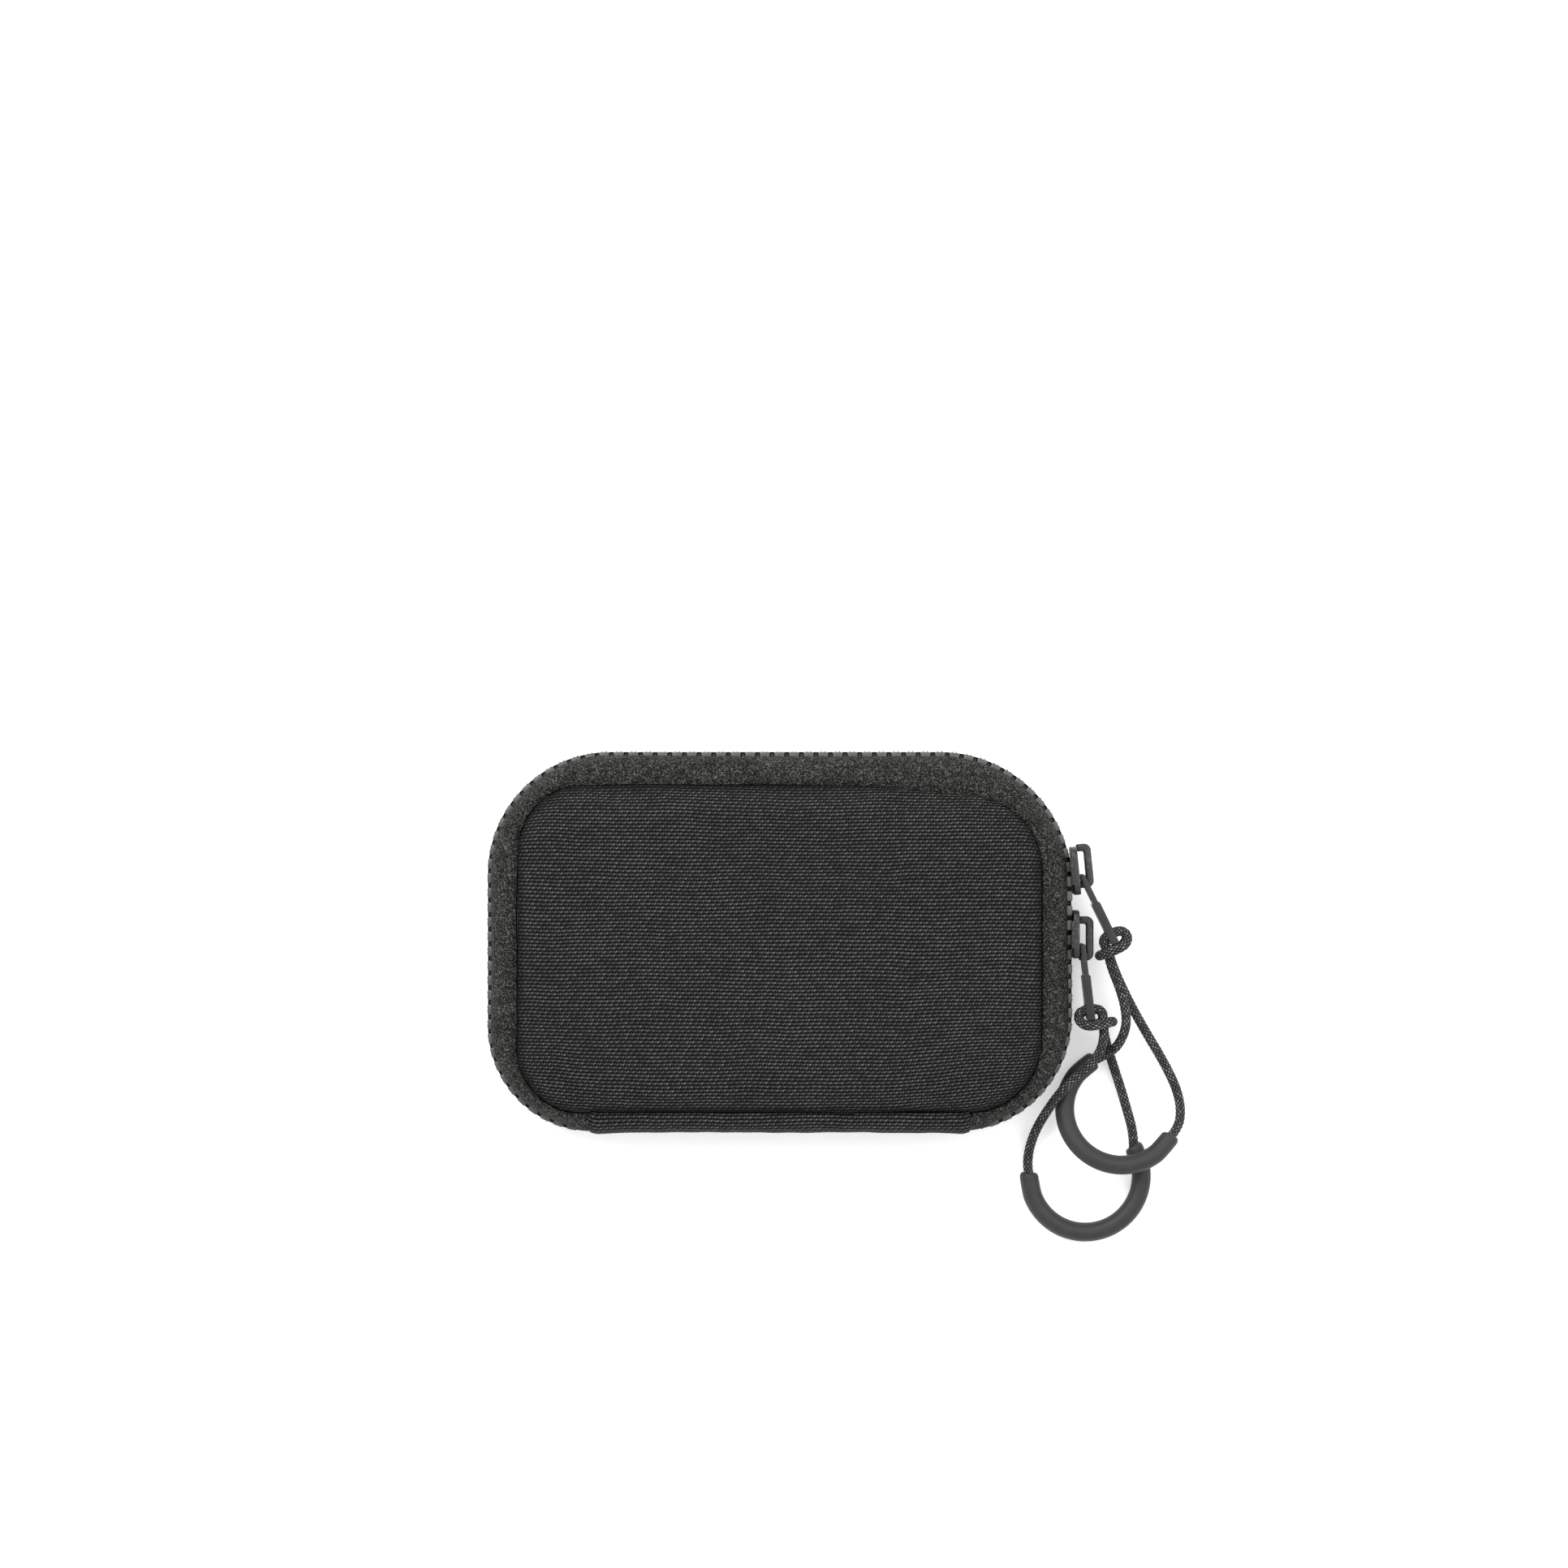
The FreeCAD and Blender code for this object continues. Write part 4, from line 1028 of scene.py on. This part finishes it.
# each cord's points from its knot down to the puller: the front run, then the back run
ROUTES = {
    "upper": ([(70.7, -5.2, 10.9), (72.6, -9.4, 9.4), (75.4, -14.8, 6.4), (78.4, -19.8, 3.2),
               (81.0, -24.0, 1.6), (83.2, -28.0, 1.2), (85.0, -32.0, 1.3), (85.8, -36.0, 2.0),
               (85.2, -39.8, 3.8)],
              [(70.5, -5.4, 8.8), (72.2, -9.6, 8.6), (73.4, -13.6, 8.7), (73.8, -17.4, 8.9),
               (72.8, -20.8, 8.6), (70.8, -23.6, 6.7)]),
    "lower": ([(68.9, -20.0, 11.0), (68.2, -23.2, 10.5), (66.0, -26.2, 9.8), (62.6, -29.0, 9.2),
               (59.6, -32.2, 8.5), (57.0, -36.0, 6.5), (54.8, -40.0, 3.8), (53.4, -44.0, 1.9),
               (52.9, -48.0, 1.6)],
              [(69.1, -19.7, 6.4), (69.9, -22.4, 3.0), (71.2, -26.4, 1.6), (72.9, -31.4, 1.3),
               (74.4, -36.6, 1.2), (75.6, -41.0, 1.5)]),
}


def puller_end(name, last):
    """A point just inside one end of a puller, where the cord goes in."""
    place, low, high = PULLERS[name]
    turn, outward = math.radians(high if last else low), 1 if last else -1
    at_end = Vector((math.cos(turn), math.sin(turn), 0.0)) * PULLER_RADIUS
    along = Vector((-math.sin(turn), math.cos(turn), 0.0)) * outward
    return tuple(place @ (at_end + along * INTO_PULLER))


def cord_route(name):
    """The cord's points: a puller's end, up to the knot, and down to the other end."""
    pivot, heading, face = TABS[name]
    place = Matrix.Translation(pivot) @ Matrix.Rotation(math.radians(heading), 4, "Z")
    front, back = ([tuple(place @ Vector((u, face * v + KNOT_SHIFT, w * side))) for u, v, w in KNOT_HALF]
                   for side in (1, -1))
    down, other = ROUTES[name]
    front_last = name == "upper"
    down = down + [puller_end(name, front_last)]
    other = other + [puller_end(name, not front_last)]
    return down[::-1] + front + back[::-1] + other


def spline_line(name, route):
    """Points along the cord's NURBS line, in equal steps."""
    curve = bpy.data.curves.new(f"{name}_line", "CURVE")
    curve.dimensions = "3D"
    spline = curve.splines.new("NURBS")
    spline.points.add(len(route) - 1)
    for point, (x, y, z) in zip(spline.points, route):
        point.co = (x * MM, y * MM, z * MM, 1.0)
    spline.order_u = 3
    spline.use_endpoint_u = True
    spline.resolution_u = 24
    holder = bpy.data.objects.new(f"{name}_line", curve)
    mesh = bpy.data.meshes.new_from_object(holder)
    line = [v.co / MM for v in mesh.vertices]
    bpy.data.meshes.remove(mesh)
    bpy.data.objects.remove(holder)
    bpy.data.curves.remove(curve)
    return even_points(line, CORD_STEP)


def even_points(line, step):
    """The same line in equal steps."""
    walked = [0.0]
    for a, b in zip(line, line[1:]):
        walked.append(walked[-1] + (b - a).length)
    count = round(walked[-1] / step)
    found, k = [], 0
    for i in range(count + 1):
        goal = walked[-1] * i / count
        while k < len(line) - 2 and walked[k + 1] < goal:
            k += 1
        share = (goal - walked[k]) / max(walked[k + 1] - walked[k], 1e-9)
        found.append(line[k].lerp(line[k + 1], share))
    return found


def make_cord(name):
    """A braided cord: a tube along the spline, with the braid's diamonds standing up from it."""
    line = spline_line(f"cord_{name}", cord_route(name))
    side = Vector((0, 0, 1)).cross(line[1] - line[0]).normalized()
    rows = []
    for i, p in enumerate(line):
        way = (line[min(i + 1, len(line) - 1)] - line[max(i - 1, 0)]).normalized()
        side = (side - way * side.dot(way)).normalized()
        up = way.cross(side)
        diamonds = i * CORD_STEP / BRAID_STEP
        row = []
        for k in range(CORD_AROUND):
            turn = k / CORD_AROUND
            first = turn * BRAID_AROUND + diamonds
            second = turn * BRAID_AROUND - diamonds
            rise = math.sin(math.pi * (first % 1)) * math.sin(math.pi * (second % 1))
            radius = CORD / 2 - BRAID_RELIEF * (1 - rise)
            out = side * math.cos(2 * math.pi * turn) + up * math.sin(2 * math.pi * turn)
            row.append(tuple(p + out * radius))
        rows.append(row)
    piece = add_grid(f"cord_{name}_braided", rows, BRAID, lambda i, j: (j / CORD_AROUND, i * CORD_STEP))
    length = sum((b - a).length for a, b in zip(line, line[1:]))
    print(f"cord_{name}: spline length {length:.1f} mm")
    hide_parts(f"cord_{name}")
    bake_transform(piece)
    tuple(line[0] * MM)
    [tuple(p * MM) for p in line]


make_cord("upper")
make_cord("lower")


# ------------------------------------------------------------ floor and lights

WHITE = (1.0, 1.0, 1.0, 1.0)
FLOOR_HALF, FLOOR_Z = 2500.0, -0.05
FLOOR_GLOW = 0.35    # keeps the paper near white, as the photograph's background is
WORLD_LIGHT = 0.95
# name, place in metres, size and power: both face the origin
LIGHTS = (("key", (-0.7, 0.9, 1.5), 1.0, 22), ("fill", (0.9, 0.5, 1.4), 1.2, 10))


def make_floor():
    """White paper that gives off a little light."""
    finish = Finish("floor_paper", 0.9, Emission_Color=WHITE, Emission_Strength=FLOOR_GLOW)
    finish.colour(finish.noise(finish.place(), 0.004, 2.0).between(0.90, 0.92), WHITE[:3])
    corners = [(FLOOR_HALF * x, FLOOR_HALF * y, FLOOR_Z) for x, y in ((-1, -1), (1, -1), (1, 1), (-1, 1))]
    add_piece("floor", corners, [(0, 1, 2, 3)], finish.material, smooth=False)


def add_light(name, place, size, power):
    """A square lamp that faces the origin."""
    data = bpy.data.lights.new(name, "AREA")
    data.size = size
    data.energy = power
    light = bpy.data.objects.new(name, data)
    light.location = place
    light.rotation_euler = (-Vector(place)).to_track_quat("-Z", "Y").to_euler()
    scene.collection.objects.link(light)


make_floor()
world = bpy.data.worlds.new("studio")
world.use_nodes = True
world.node_tree.nodes["Background"].inputs["Color"].default_value = WHITE
world.node_tree.nodes["Background"].inputs["Strength"].default_value = WORLD_LIGHT
scene.world = world
for light in LIGHTS:
    add_light(*light)
